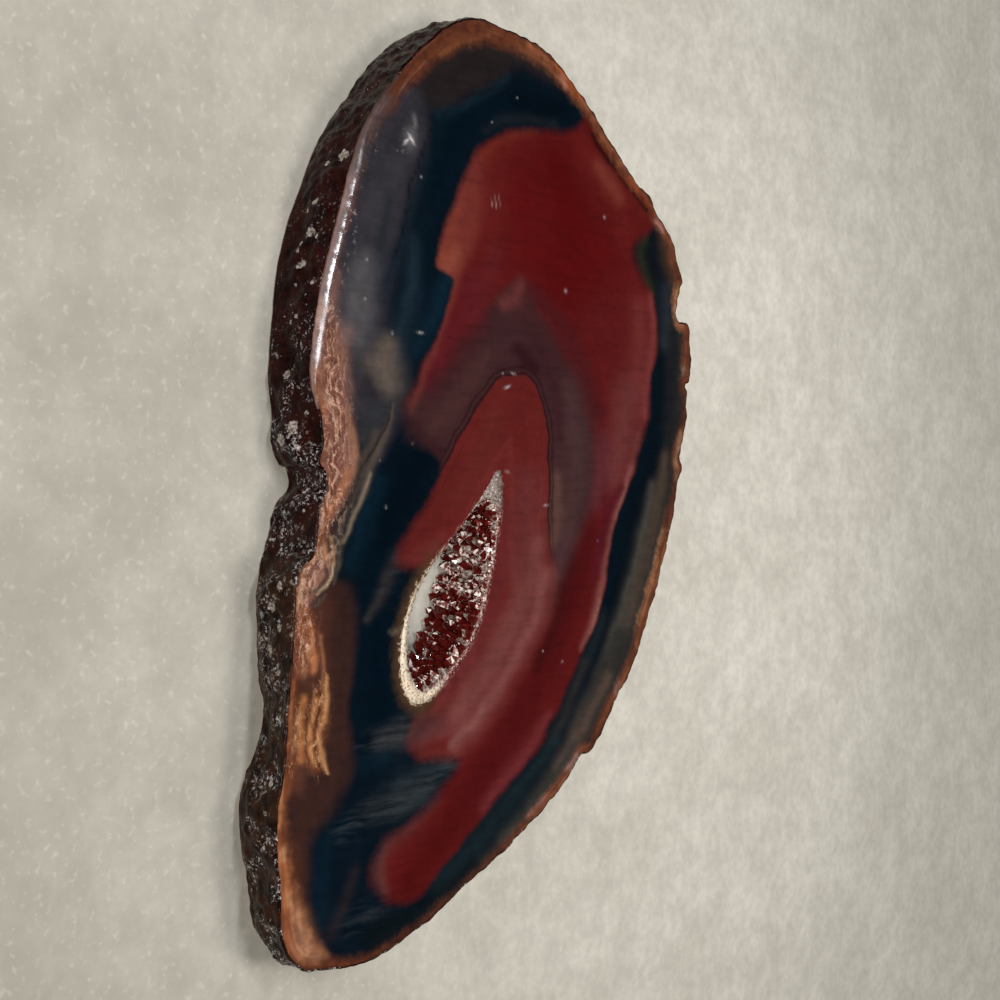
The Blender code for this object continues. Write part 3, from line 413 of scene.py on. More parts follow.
RIM_STROKES = (
    ("8a5234", 0.70, ((-39.7, -3.4, 0.2), (-39.0, -5.0, 0.3), (-38.2, -6.8, 0.35), (-36.8, -9.2, 0.3))),
    ("a8501e", 0.85, ((-39.6, 5.4, 0.4), (-38.4, 7.2, 0.6), (-37.0, 8.8, 0.5))),
    ("c08068", 0.75, ((-37.9, 6.4, 0.3), (-37.2, 6.9, 0.25))),
    ("b87048", 0.65, ((-40.3, 3.4, 0.3), (-40.1, 2.2, 0.3))),
    ("b08070", 0.70, ((-31.4, 13.4, 0.3), (-31.1, 13.1, 0.3))),
    ("94492c", 0.70, ((-30.0, 16.6, 0.5), (-27.6, 19.8, 0.5), (-25.4, 22.2, 0.5))),
    ("b98878", 0.80, ((-26.2, 20.9, 0.4), (-25.4, 21.7, 0.4))),
    ("b07a48", 0.80, ((-19.6, 24.5, 0.3), (-18.2, 24.3, 0.3), (-16.6, 24.6, 0.3))),
    ("6a3a26", 0.70, ((-15.6, 26.2, 0.6), (-12.0, 26.2, 0.6))),
    ("a8907e", 0.80, ((-11.3, 25.3, 0.35), (-10.8, 25.2, 0.3))),
    ("a87a62", 0.75, ((-4.4, 24.8, 0.4), (-2.0, 24.0, 0.4), (0.0, 24.2, 0.35))),
    ("5a3028", 0.60, ((0.6, 23.8, 0.5), (3.0, 23.2, 0.5), (5.0, 22.6, 0.4))),
    # Painted light: this bright orange band along the thin far edge stands in for light glowing through it.
    ("c69066", 0.85, ((5.6, 21.8, 0.35), (8.0, 20.8, 0.4), (11.0, 19.2, 0.4), (14.0, 17.9, 0.4),
                      (15.6, 17.2, 0.3))),
    ("5a2c18", 0.70, ((6.0, 22.6, 0.3), (9.4, 21.4, 0.3), (13.6, 19.5, 0.3), (16.6, 18.2, 0.3))),
    ("b98a80", 0.75, ((20.8, 14.6, 0.35), (21.4, 14.2, 0.35))),
    ("b08a84", 0.70, ((27.4, 8.4, 0.35), (28.2, 7.2, 0.35))),
    ("b07868", 0.75, ((30.4, 3.9, 0.4), (31.0, 3.0, 0.35), (32.0, 1.7, 0.35))),
    ("7a4020", 0.70, ((40.6, -16.0, 0.5), (40.9, -20.0, 0.5))),
    ("b06a44", 0.70, ((17.0, -25.2, 0.15), (19.0, -25.6, 0.25), (21.0, -25.7, 0.2), (23.0, -26.0, 0.12))),
    ("b9794c", 0.75, ((24.4, -26.3, 0.15), (26.0, -26.6, 0.3), (27.6, -26.5, 0.25), (28.8, -26.9, 0.12))),
    ("c08458", 0.80, ((30.2, -26.3, 0.15), (32.0, -26.0, 0.35), (34.4, -26.2, 0.25), (36.0, -25.7, 0.3))),
    ("c08a6a", 0.85, ((39.6, -22.8, 0.4), (38.4, -24.0, 0.8), (36.6, -24.9, 0.8), (34.6, -25.5, 0.3))),
    ("4e2416", 0.85, ((30.0, -27.4, 0.30), (35.0, -27.0, 0.35), (38.6, -26.3, 0.45), (40.4, -24.6, 0.40),
                      (40.9, -22.0, 0.35))),
    ("5a4a48", 0.90, ((-31.5, -15.6, 0.5), (-28.6, -17.3, 0.7), (-25.0, -18.7, 0.7))),
    ("7c5f5a", 0.90, ((-24.0, -19.0, 0.6), (-20.0, -20.2, 0.7), (-14.0, -21.9, 0.7), (-9.0, -22.8, 0.8))),
    ("94502f", 0.65, ((29.0, -26.4, 0.5), (33.0, -26.2, 0.6), (37.0, -25.8, 0.5))),
    ("c8946c", 0.75, ((30.0, -26.2, 0.3), (30.8, -26.3, 0.25))),
    ("c08a64", 0.70, ((33.8, -25.8, 0.3), (34.6, -25.7, 0.25))),
)
# The rim's colour from its darkest to its brightest.
RIM_TONES = ("3a1e16", "6a3925", "9b5f40", "c9906a")

# Scratches on the polished face: x, y, length, width, the way it runs in degrees, and how clearly it shows.
SCRATCHES = (
    (-24.9, -2.0, 0.8, 0.12, 8, 0.30), (-24.7, -2.5, 0.9, 0.12, 8, 0.40), (-24.6, -3.0, 0.7, 0.12, 10, 0.30),
    (-28.6, -12.75, 1.0, 0.28, 42, 0.90), (-28.3, -13.3, 0.8, 0.24, -48, 0.80),
    (-28.6, -12.9, 1.8, 1.4, 0, 0.12), (-30.2, -12.3, 1.2, 0.5, 10, 0.10), (3.0, 4.2, 0.6, 0.15, 95, 0.45),
    (-7.9, -1.0, 0.7, 0.20, 110, 0.55), (-9.2, -0.2, 0.6, 0.15, 80, 0.40), (-0.1, -1.0, 0.5, 0.16, 70, 0.40),
    (-12.0, -11.7, 0.6, 0.16, 90, 0.50),
)
# Specks in it: x, y and size.
SPECKS = (
    (-25.5, 12.7, 0.30), (-17.6, 7.0, 0.35), (-9.1, -1.6, 0.18), (-11.7, -14.9, 0.22), (-25.5, -11.6, 0.20),
    (-34.8, 0.3, 0.18), (-31.9, -3.0, 0.18), (3.1, -15.6, 0.20), (-17.6, -17.7, 0.22), (-14.3, -17.9, 0.22),
    (-0.9, -16.3, 0.14), (18.0, 6.5, 0.20), (16.8, 3.8, 0.18), (6.5, 11.7, 0.16), (-2.4, -12.6, 0.15),
)
SPECK_STRENGTH = 0.32

# Where the face is frosted with tiny chips: how strongly, then x, y and half the width along the stroke.
FROST = (
    (0.7, ((-28.0, -16.6, 0.4), (-25.0, -18.0, 0.5), (-23.2, -18.6, 0.4))),
    (1.0, ((-22.0, -18.9, 0.5), (-20.0, -19.4, 0.7), (-17.5, -20.2, 0.7), (-14.8, -20.9, 0.6),
           (-12.4, -21.0, 0.5))),
    (0.7, ((-30.2, -12.6, 0.4), (-28.6, -12.9, 0.6), (-27.4, -14.2, 0.4))),
)

# Where fine fibres show, and where pale hairs feather the dark ground, in the same way.
COPPER_FIBRES = (
    (0.75, ((-13.0, -21.8, 0.7), (-8.0, -21.4, 1.1), (-3.0, -21.0, 1.3), (2.0, -21.2, 1.2),
            (7.0, -22.8, 1.2))),
    (0.80, ((7.5, -23.6, 0.8), (11.0, -24.2, 0.8), (15.0, -24.2, 0.9))),
)
GOLDEN_FIBRES = (
    (0.70, ((16.4, -22.2, 0.4), (18.5, -22.6, 0.7), (21.5, -23.4, 0.9), (24.4, -22.8, 0.5))),
    (0.60, ((19.0, -24.8, 0.5), (22.0, -25.2, 0.6), (24.0, -25.6, 0.4))),
)
FEATHERS = (
    (1.00, ((22.0, -10.0, 0.8), (22.4, -13.0, 1.3), (22.8, -16.5, 0.9), (23.0, -18.5, 0.5))),
    (0.90, ((25.6, -6.6, 0.8), (27.0, -10.0, 1.3), (28.2, -14.0, 1.3), (28.8, -18.5, 1.0),
            (30.0, -20.5, 0.8))),
    (0.60, ((36.6, -16.0, 1.2), (37.6, -19.0, 1.4))),
    (0.50, ((8.0, -14.6, 0.7), (10.6, -16.2, 0.7))),
)

# Pits in the face beside the groove, where the rind's cavities meet it: depth, then x, y and half width.
PITS = (
    (0.07, ((10.2, -22.2, 0.3), (10.7, -22.8, 0.35), (11.0, -23.4, 0.3))),
    (0.05, ((8.0, -21.9, 0.2), (8.8, -21.9, 0.25), (9.5, -22.5, 0.25), (9.9, -23.3, 0.2))),
    (0.04, ((5.4, -22.1, 0.2), (6.0, -21.6, 0.2), (6.8, -21.5, 0.2))),
    (0.04, ((6.2, -22.7, 0.2), (7.0, -22.5, 0.2), (7.8, -22.9, 0.2), (8.3, -23.5, 0.2))),
    (0.03, ((-0.6, -17.9, 0.15), (0.5, -18.6, 0.2), (2.0, -19.5, 0.2), (3.5, -20.6, 0.2), (4.8, -21.4, 0.2))),
)
PIT_FALL = 1.0

# Pale patches of chalcedony on the near side of the rind: x, height and radius.
PALE_PATCHES = (
    (-26.4, 4.5, 0.55), (-25.9, 3.0, 0.25), (-22.4, 3.2, 0.35), (-21.8, 2.2, 0.22), (-19.8, 3.2, 0.45),
    (-19.3, 4.0, 0.22), (-18.8, 2.6, 0.28), (-18.3, 2.2, 0.22), (-17.0, 3.0, 0.45), (-15.4, 4.6, 0.32),
    (-15.3, 2.8, 0.18), (-12.6, 3.4, 0.30), (-12.2, 2.6, 0.26), (-10.2, 4.2, 0.22), (-7.8, 2.6, 0.50),
    (-6.9, 3.6, 0.26), (-4.6, 4.8, 0.30), (-3.4, 3.4, 0.70), (-2.4, 2.2, 0.60), (-1.8, 3.8, 0.35),
    (3.4, 4.4, 0.22), (5.2, 3.0, 0.25), (9.4, 4.4, 0.40), (11.2, 3.2, 0.50), (12.8, 4.2, 0.40),
    (14.6, 3.0, 0.45), (16.4, 4.2, 0.35), (17.2, 2.6, 0.40), (25.2, 4.6, 0.30), (27.4, 4.8, 0.25),
    (30.2, 4.6, 0.22),
)
PALE_BELOW_Y = -8.0

# The milky layer that the crystals grow from: its inner edge, thin on the far side and wide at both ends.
CRUST_EDGE = (
    (2.4, -3.25), (3.0, -4.85), (5.15, -7.05), (7.78, -9.92), (10.4, -12.0), (13.3, -13.15), (16.4, -13.2),
    (18.2, -12.5), (19.1, -11.6), (19.1, -10.5), (17.45, -7.8), (14.5, -5.2), (10.8, -3.6), (6.4, -2.45),
    (3.9, -2.3),
)
CRUST_CLEARANCE = 0.03
CRUST_COLUMN, CRUST_ROWS = 0.25, 22
GRIT_HEIGHT, GRIT_SCALE = 0.12, 0.35

# The crystals: six-sided points on the crust's inner wall.
CRYSTAL_SPACING = 0.62
CRYSTAL_LEVELS = 10
CRYSTAL_JITTER = 0.3
CRYSTAL_FACETS = 12
CRYSTAL_WIDTH = (0.55, 1.15)
CRYSTAL_ROOT = 0.3
CRYSTAL_MARGIN = 0.06
CRYSTAL_SHAFT = (0.05, 0.65)
TIP_ANGLE = (36, 50)
LEAN_SPREAD = 0.45
# A wall that faces away from the camera is on the near side, where the crystals are small. Elsewhere they
# are longer towards the foot.
NEAR_WALL, NEAR_SIDE_SHARE, FOOT_GROWTH = 0.1, 0.5, 0.7
# The crystals above this height are small, and milky on the near side and at the broad end.
MILKY_ABOVE, MILKY_SIZE, BROAD_END_X = 5.2, 0.6, 17.5
# How many crystals are milky and how many facets of others are painted highlights, both most so in the
# middle.
MILKY_SHARE, SPARKLE_SHARE, PALE_X, PALE_REACH, LEAST_PALE = 0.20, 0.42, 9.0, 3.4, 0.25

CAMERA_AT = (2.5, -92.0, 96.0)
CAMERA_LENS = 50.0
FLOOR_SIZE = 900.0
# The lamps: place, size, power in watts and colour. The window runs from one place to another.
OVERHEAD_LAMP = ((20, 70, 340), 100, 0.46, "fffcf6")
FRONT_LAMP = ((0, -250, 260), 45, 0.74, "fffaf4")
WINDOW_FROM, WINDOW_TO, WINDOW_WIDTH = (-26.0, -70.0, 330.0), (-143.0, -29.0, 301.0), 27.0
WINDOW_POWER, WINDOW_COLOUR = 0.42, "f6f9ff"
ROOM_COLOUR, ROOM_STRENGTH = (0.9, 0.95, 1.0, 1.0), 0.03


def tone(code):
    """The linear colour of a six-figure code."""
    parts = [int(code[i : i + 2], 16) / 255 for i in (0, 2, 4)]
    return np.array([c / 12.92 if c <= 0.04045 else ((c + 0.055) / 1.055) ** 2.4 for c in parts])


def smoothstep(values):
    """0 below -1, 1 above 1, and smooth between."""
    share = np.clip(0.5 + 0.5 * values, 0, 1)
    return share * share * (3 - 2 * share)


def closed_curve(points, step):
    """Points every step along a smooth closed curve through the given points, with their further numbers."""
    start = np.array(points, float)
    before, end, after = np.roll(start, 1, 0), np.roll(start, -1, 0), np.roll(start, -2, 0)
    a, b, c, d = (values[:, None, :] for values in (before, start, end, after))
    t = (np.arange(16) / 16)[None, :, None]
    dense = 0.5 * (2 * b + (c - a) * t + (2 * a - 5 * b + 4 * c - d) * t**2 + (3 * b - a - 3 * c + d) * t**3)
    dense = dense.reshape(-1, start.shape[1])
    dense = np.vstack([dense, dense[:1]])
    steps = np.hypot(*(dense[1:] - dense[:-1])[:, :2].T)
    along = np.concatenate([[0], np.cumsum(steps)])
    wanted = np.linspace(0, along[-1], max(8, round(along[-1] / step)), endpoint=False)
    return np.stack([np.interp(wanted, along, column) for column in dense.T], 1)


def outward(loop):
    """The level directions that point out of an anticlockwise loop at each of its points."""
    along = np.roll(loop[:, :2], -1, 0) - np.roll(loop[:, :2], 1, 0)
    along /= np.linalg.norm(along, axis=1)[:, None]
    return np.stack([along[:, 1], -along[:, 0]], 1)


def nearest_on(places, starts, ends):
    """How far each place is from a chain of straight pieces, and the further numbers of the chain's nearest
    point."""
    nearest = np.full(len(places), 1e9)
    extra = np.zeros((len(places), starts.shape[1] - 2))
    x, y = places[:, 0], places[:, 1]
    for one, other in zip(starts, ends):
        step = other[:2] - one[:2]
        share = np.clip(((x - one[0]) * step[0] + (y - one[1]) * step[1]) / (step @ step), 0, 1)
        away = np.hypot(x - one[0] - share * step[0], y - one[1] - share * step[1])
        closer = away < nearest
        nearest[closer] = away[closer]
        extra[closer] = one[2:] + share[closer, None] * (other[2:] - one[2:])
    return nearest, extra


def is_inside(places, loop):
    """Whether each place is inside a closed loop."""
    inside = np.zeros(len(places), bool)
    x, y = places[:, 0], places[:, 1]
    for one, other in zip(loop, np.roll(loop, -1, 0)):
        if one[1] == other[1]:
            continue
        crosses = (one[1] > y) != (other[1] > y)
        at = one[0] + (y - one[1]) * (other[0] - one[0]) / (other[1] - one[1])
        inside ^= crosses & (x < at)
    return inside


def depth_inside(places, loop):
    """How far inside a closed loop each place is, less than 0 outside, with the loop's further numbers."""
    away, extra = nearest_on(places, loop, np.roll(loop, -1, 0))
    return np.where(is_inside(places, loop), away, -away), extra


def lay(colours, code, cover):
    """Lays a colour over the colours so far."""
    return colours + (tone(code) - colours) * cover[:, None]


def paint_zones(places, colours, zones):
    """Lays zones with soft edges over the colours so far."""
    for code, outline in zones:
        loop = closed_curve(outline, ZONE_STEP)
        low, high = loop[:, :2].min(0) - ZONE_MARGIN, loop[:, :2].max(0) + ZONE_MARGIN
        near = ((places > low) & (places < high)).all(1)
        depth, softness = depth_inside(places[near], loop)
        cover = np.zeros(len(places))
        cover[near] = smoothstep(depth / softness[:, 0])
        colours = lay(colours, code, cover)
    return colours


def on_stroke(places, points, fall=STROKE_FALL):
    """How much of a brush stroke each place gets: 1 along its middle, and less and less beside it."""
    points = np.array(points)
    away, width = nearest_on(places, points[:-1], points[1:])
    return np.exp(-((away / width[:, 0]) ** 2) * fall)


def paint_strokes(places, colours, strokes):
    """Lays brush strokes over the colours so far."""
    for code, strength, points in strokes:
        middle, half_width = np.split(np.array(points), [2], 1)
        low = (middle - STROKE_REACH * half_width).min(0)
        high = (middle + STROKE_REACH * half_width).max(0)
        near = ((places > low) & (places < high)).all(1)
        cover = np.zeros(len(places))
        cover[near] = strength * on_stroke(places[near], points)
        colours = lay(colours, code, cover)
    return colours


def stroke_cover(places, strokes, fall=STROKE_FALL):
    """The most that strokes without a colour cover each place."""
    cover = np.zeros(len(places))
    for strength, points in strokes:
        cover = np.maximum(cover, strength * on_stroke(places, points, fall))
    return cover


def wavy(places, scale, height, level):
    """Places moved about by smooth noise, as the edges of agate's bands wander."""
    shifts = [noise.noise_vector(Vector((x / scale, y / scale, level))) for x, y in places]
    return places + height * np.array(shifts)[:, :2]


def relief(x, y, z):
    """How far the rough rind stands out from its smooth shape at a place."""
    at = Vector((x, y, z))
    out = ROUGHNESS * noise.noise(at / ROUGHNESS_SCALE)
    out += KNOB_HEIGHT * (0.5 - noise.voronoi(at / KNOB_SCALE)[0][0])
    out += PEBBLE_HEIGHT * (0.5 - noise.voronoi(at / PEBBLE_SCALE)[0][0])
    if y > 0:
        return out
    for lump_x, lump_z, radius, height in LUMPS:
        out += height * math.exp(-((math.hypot(x - lump_x, z - lump_z) / radius) ** 2))
    return out - GROOVE_DEPTH * math.exp(-(((x - GROOVE_X) / GROOVE_WIDTH) ** 2))


def worn_share(x, y):
    """How worn the face's edge is at each place, from 0 to 1."""
    return np.interp(x, WORN_X, WORN_SHARE) * (y < 0)


def rind_rows(worn):
    """Heights and insets of the rind's rows of points, from the underside up, each for every column."""
    low_width, low_drop = PLAIN_ROUNDING
    width, drop = (plain + (wide - plain) * worn for plain, wide in zip(PLAIN_ROUNDING, WORN_BEVEL))
    flat = np.zeros(len(worn))
    rows = [(flat + low_drop * down, flat + low_width * inset) for inset, down in reversed(PLAIN_PROFILE)]
    for k in range(WALL_ROWS + 1):
        rows.append((low_drop + (THICKNESS - drop - low_drop) * k / WALL_ROWS, flat))
    for plain, wide in zip(PLAIN_PROFILE, WORN_PROFILE):
        inset, down = (one + (other - one) * worn for one, other in zip(plain, wide))
        rows.append((THICKNESS - drop * down, width * inset))
    return rows, drop


def rind_rings():
    """The rings of points round the slice, from the underside's edge to the face's edge."""
    loop = closed_curve(FACE_EDGE, COLUMN_WIDTH)
    out_way = outward(loop)
    worn = worn_share(loop[:, 0], loop[:, 1])
    rows, drop = rind_rows(worn)
    near = 1 - smoothstep(loop[:, 1] / SIDE_FADE)
    at_face = FACE_RELIEF * (1 - WORN_SMOOTHNESS * worn) + FAR_RELIEF * (1 - near)
    rings = []
    for z, inset in rows:
        level = np.clip(z, PLAIN_ROUNDING[1], THICKNESS - drop)
        share = 1 - level / THICKNESS
        bump = np.array([relief(*at) for at in zip(loop[:, 0], loop[:, 1], level)])
        swell = near * np.sin(math.pi * share)
        out = loop[:, 2] * share + BULGE * swell + bump * (at_face + (1 - at_face) * swell) - inset
        rings.append(np.column_stack([loop[:, :2] + out_way * out[:, None], z]))
    return rings


def hex_grid(low, high, spacing):
    """Points of a honeycomb grid over a rectangle."""
    columns = np.arange(low[0], high[0], spacing)
    rows = np.arange(low[1], high[1], spacing * math.sqrt(0.75))
    x, y = np.meshgrid(columns, rows)
    x = x + (np.arange(len(rows)) % 2)[:, None] * spacing / 2
    return np.stack([x.ravel(), y.ravel()], 1)


def needs_fine(places, edge, hollow):
    """Where the face has detail too small for the coarse grid."""
    x, y = places[:, 0], places[:, 1]
    fine = (edge < FINE_EDGE) | (hollow > -FINE_HOLLOW)
    fine |= (x > FINE_FIBRES_X[0]) & (x < FINE_FIBRES_X[1]) & (y < FINE_FIBRES_Y)
    below_line = (y < FINE_LINE_Y) & (y + FINE_LINE_SLOPE * x < FINE_LINE_BELOW)
    fine |= (x > FINE_LINE_X[0]) & (x < FINE_LINE_X[1]) & below_line
    inner = closed_curve(INNER_EDGE, FINE_STEP)
    from_inner, _ = nearest_on(places, inner, np.roll(inner, -1, 0))
    fine |= (from_inner < FINE_INNER) & (x < FINE_INNER_TO_X)
    for mark_x, mark_y, size, *_ in SCRATCHES + SPECKS:
        fine |= np.hypot(x - mark_x, y - mark_y) < 0.5 * size + FINE_MARK
    return fine


def face_points(outline, hollow_loop, share):
    """Points inside the face: close together where the detail is small, and further apart elsewhere."""
    low, high = outline.min(0), outline.max(0)
    found = []
    for spacing, fine_wanted in ((FINE_SPACING * share, True), (COARSE_SPACING * share, False)):
        places = hex_grid(low, high, spacing)
        edge, _ = depth_inside(places, outline)
        hollow, _ = depth_inside(places, hollow_loop)
        keep = (edge > LEAST_GAP * spacing) & (hollow < -LEAST_GAP * spacing)
        places, edge, hollow = places[keep], edge[keep], hollow[keep]
        found.append(places[needs_fine(places, edge, hollow) == fine_wanted])
    return np.vstack(found)


def face_triangles(outline, hollow_loop, inner):
    """Triangles that fill the face between its outline and the hollow, as numbers of points in the order
    outline, hollow, inner."""
    points = np.vstack([outline, hollow_loop, inner])
    count, more = len(outline), len(hollow_loop)
    edges = [(i, (i + 1) % count) for i in range(count)]
    edges += [(count + i, count + (i + 1) % more) for i in range(more)]
    result = delaunay_2d_cdt([Vector(p) for p in points], edges, [], 0, 1e-7)
    triangles = np.array(result[2])
    middles = points[triangles].mean(1)
    triangles = triangles[is_inside(middles, outline) & ~is_inside(middles, hollow_loop)]
    a, b, c = (points[triangles[:, k]] for k in range(3))
    turned = (b[:, 0] - a[:, 0]) * (c[:, 1] - a[:, 1]) - (b[:, 1] - a[:, 1]) * (c[:, 0] - a[:, 0]) < 0
    triangles[turned] = triangles[turned][:, ::-1]
    return triangles


def ring_quads(first, second, count):
    """Quads between two rings of points that start at the given numbers. They face out if the second ring is
    the upper one."""
    quads = []
    for i in range(count):
        j = (i + 1) % count
        quads.append((first + i, first + j, second + j, second + i))
    return quads


RINGS = rind_rings()
RING_LOW = np.vstack(RINGS).min(0)
RING_HIGH = np.vstack(RINGS).max(0)
BOX_LOW, BOX_HIGH = (np.array(corner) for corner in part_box("agate_slice"))


def in_scene(points):
    """Places on the plan, in millimetres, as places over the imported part, in metres."""
    share = (BOX_HIGH - BOX_LOW) / (RING_HIGH - RING_LOW)
    return BOX_LOW + (np.atleast_2d(points) - RING_LOW) * share


def placed(name, data):
    """A new object in the scene."""
    made = bpy.data.objects.new(name, data)
    bpy.context.scene.collection.objects.link(made)
    return made


def new_object(name, points, faces, materials, face_materials):
    """A mesh object from places on the plan and faces, with a material number for each face."""
    mesh = bpy.data.meshes.new(name)
    mesh.from_pydata(in_scene(points).tolist(), [], faces)
    for made in materials:
        mesh.materials.append(made)
    mesh.polygons.foreach_set("material_index", np.array(face_materials, np.int32))
    mesh.update()
    return placed(name, mesh)


def set_numbers(mesh, name, values):
    """Stores a number at each point of a mesh."""
    mesh.attributes.new(name, "FLOAT", "POINT").data.foreach_set("value", np.asarray(values, np.float32))


def set_colours(mesh, name, colours):
    """Stores a colour at each point of a mesh."""
    four = np.column_stack([colours, np.ones(len(colours))]).astype(np.float32)
    mesh.attributes.new(name, "FLOAT_COLOR", "POINT").data.foreach_set("color", four.ravel())


def mark_cover(places):
    """How much of each place is covered by a scratch or a speck."""
    cover = np.zeros(len(places))
    marks = SCRATCHES + tuple((x, y, size, size, 0, SPECK_STRENGTH) for x, y, size in SPECKS)
    for x, y, length, width, turn, strength in marks:
        c, s = math.cos(math.radians(turn)), math.sin(math.radians(turn))
        dx, dy = places[:, 0] - x, places[:, 1] - y
        along = (dx * c + dy * s) / (length / 2)
        across = (dy * c - dx * s) / (width / 2)
        cover = np.maximum(cover, strength * np.exp(-(along**2) - across**2))
    return cover


def rim_colours(brightness):
    """The rim's colour for each brightness from 0 to 1."""
    tones = np.array([tone(code) for code in RIM_TONES])
    stops = np.linspace(0, 1, len(tones))
    return np.stack([np.interp(brightness, stops, tones[:, k]) for k in range(3)], 1)


def paint_bands(mesh, places):
    """Stores the colours of the ground, the figure and the inner red, and how far inside the reds each point
    is."""
    blank = np.zeros((len(places), 3))
    for name, base, zones, strokes in (
        ("ground", GROUND, GROUND_ZONES, GROUND_STROKES),
        ("figure", FIGURE, FIGURE_ZONES, FIGURE_STROKES),
        ("inner", INNER, (), INNER_STROKES),
    ):
        colours = paint_zones(places, blank + tone(base), zones)
        set_colours(mesh, name, paint_strokes(places, colours, strokes))
    for name, outline in (("red", RED_EDGE), ("inner", INNER_EDGE)):
        depth, softness = depth_inside(places, closed_curve(outline, BAND_STEP))
        set_numbers(mesh, name + "_share", np.clip(depth / softness[:, 0], -FURTHEST, FURTHEST))
    set_numbers(mesh, "inner_depth", depth)


def paint_rim(mesh, flat, places):
    """Stores the rim's colour, and how far each point is inside it, the face's edge and the worn stretch."""
    depth, extra = depth_inside(flat, closed_curve(FACE_EDGE, RIM_STEP))
    set_colours(mesh, "rim", paint_strokes(places, rim_colours(extra[:, 2]), RIM_STROKES))
    set_numbers(mesh, "rim_depth", extra[:, 1] - depth)
    set_numbers(mesh, "edge_depth", depth)
    worn = worn_share(flat[:, 0], flat[:, 1]) * smoothstep((WORN_REACH - depth) / WORN_FADE)
    set_numbers(mesh, "worn", worn)


def pale_cover(points):
    """How much chalcedony covers each point of the near rind."""
    cover = np.zeros(len(points))
    for x, z, radius in PALE_PATCHES:
        away = np.hypot(points[:, 0] - x, points[:, 2] - z) / radius
        cover = np.maximum(cover, np.exp(-(away**2)) * (points[:, 1] < PALE_BELOW_Y))
    return cover


def line_cover(x, y):
    """Where the thin dark lines show."""
    to_end = smoothstep((LINES_TO_X - x) / LINES_X_FADE)
    return to_end * smoothstep((LINES_TO_SUM - x + LINES_Y_PART * y) / LINES_SUM_FADE)


def paint_stone(mesh, points):
    """Stores the colours and measures that the stone's materials read."""
    flat = points[:, :2]
    noise.seed_set(SEED)
    places = flat
    for scale, height, level in BAND_WAVES:
        places = wavy(places, scale, height, level)
    paint_bands(mesh, places)
    paint_rim(mesh, flat, places)
    for name, strokes in (
        ("copper_fibre", COPPER_FIBRES),
        ("golden_fibre", GOLDEN_FIBRES),
        ("feathers", FEATHERS),
        ("frost", FROST),
        ("pits", PITS),
    ):
        set_numbers(mesh, name, stroke_cover(flat, strokes))
    set_numbers(mesh, "hollow_away", -depth_inside(flat, closed_curve(HOLLOW_EDGE, HOLLOW_COLUMN))[0])
    set_numbers(mesh, "mark", mark_cover(flat) * (points[:, 2] > THICKNESS / 2))
    set_numbers(mesh, "line", line_cover(flat[:, 0], flat[:, 1]))
    set_numbers(mesh, "pale", pale_cover(points))


def sharpen_ring(mesh, start, wanted):
    """Marks a ring's edges as sharp where that is wanted, so that the flat part beside them looks flat."""
    ends = np.empty(len(mesh.edges) * 2, np.int32)
    mesh.edges.foreach_get("vertices", ends)
    sharp = np.empty(len(mesh.edges), bool)
    mesh.edges.foreach_get("use_edge_sharp", sharp)
    on_ring = np.zeros(len(mesh.vertices), bool)
    on_ring[start : start + len(wanted)] = wanted
    mesh.edges.foreach_set("use_edge_sharp", sharp | on_ring[ends.reshape(-1, 2)].all(1))


POLISHED, RIND = range(2)
WALL_END = len(PLAIN_PROFILE) + WALL_ROWS


def at_height(flat, z):
    """Places on the plan at a height, or each at its own."""
    return np.column_stack([flat, np.full(len(flat), z)])


def rind_faces(starts, count, is_worn):
    """Quads between the rings, and their materials. The worn bevel and the underside's rounding are
    polished."""
    faces, kinds = [], []
    for k in range(len(RINGS) - 1):
        faces += ring_quads(starts[k], starts[k + 1], count)
        is_rind = ~is_worn if k >= WALL_END else np.full(count, k >= len(PLAIN_PROFILE))
        kinds += np.where(is_rind, RIND, POLISHED).tolist()
    return faces, kinds


def stone():
    """The slice itself, as one closed mesh: underside, rind, polished face and the wall of the hollow."""
    hollow_loop = closed_curve(HOLLOW_EDGE, HOLLOW_COLUMN)
    low_edge, top_edge = RINGS[0][:, :2], RINGS[-1][:, :2]
    low_inner = face_points(low_edge, hollow_loop, UNDERSIDE_SHARE)
    top_inner = face_points(top_edge, hollow_loop, 1.0)
    parts = RINGS + [
        at_height(hollow_loop, 0.0),
        at_height(low_inner, 0.0),
        at_height(hollow_loop, THICKNESS),
        at_height(top_inner, THICKNESS - stroke_cover(top_inner, PITS, PIT_FALL)),
    ]
    points = np.vstack(parts)
    starts = np.cumsum([0] + [len(part) for part in parts])
    count, more = len(top_edge), len(hollow_loop)
    low_hollow, top_hollow = starts[len(RINGS)], starts[len(RINGS) + 2]
    is_worn = worn_share(top_edge[:, 0], top_edge[:, 1]) > LEAST_WORN
    faces, kinds = rind_faces(starts, count, is_worn)
    for edge, edge_start, hollow_start, inner, turn in (
        (low_edge, 0, low_hollow, low_inner, -1),
        (top_edge, starts[len(RINGS) - 1], top_hollow, top_inner, 1),
    ):
        triangles = face_triangles(edge, hollow_loop, inner)
        inside = hollow_start + np.arange(more + len(inner))
        numbers = np.concatenate([edge_start + np.arange(count), inside])
        faces += numbers[triangles][:, ::turn].tolist()
    faces += ring_quads(top_hollow, low_hollow, more)
    kinds += [POLISHED] * (len(faces) - len(kinds))
    made = new_object("stone", points, faces, (face_material(), rind_material()), kinds)
    made.data.shade_smooth()
    made.data.set_sharp_from_angle(angle=SHARP_ANGLE)
    sharpen_ring(made.data, starts[len(RINGS) - 1], ~is_worn)
    sharpen_ring(made.data, starts[WALL_END + 1 + BEVEL_CORNER], is_worn)
    paint_stone(made.data, points)
    return made


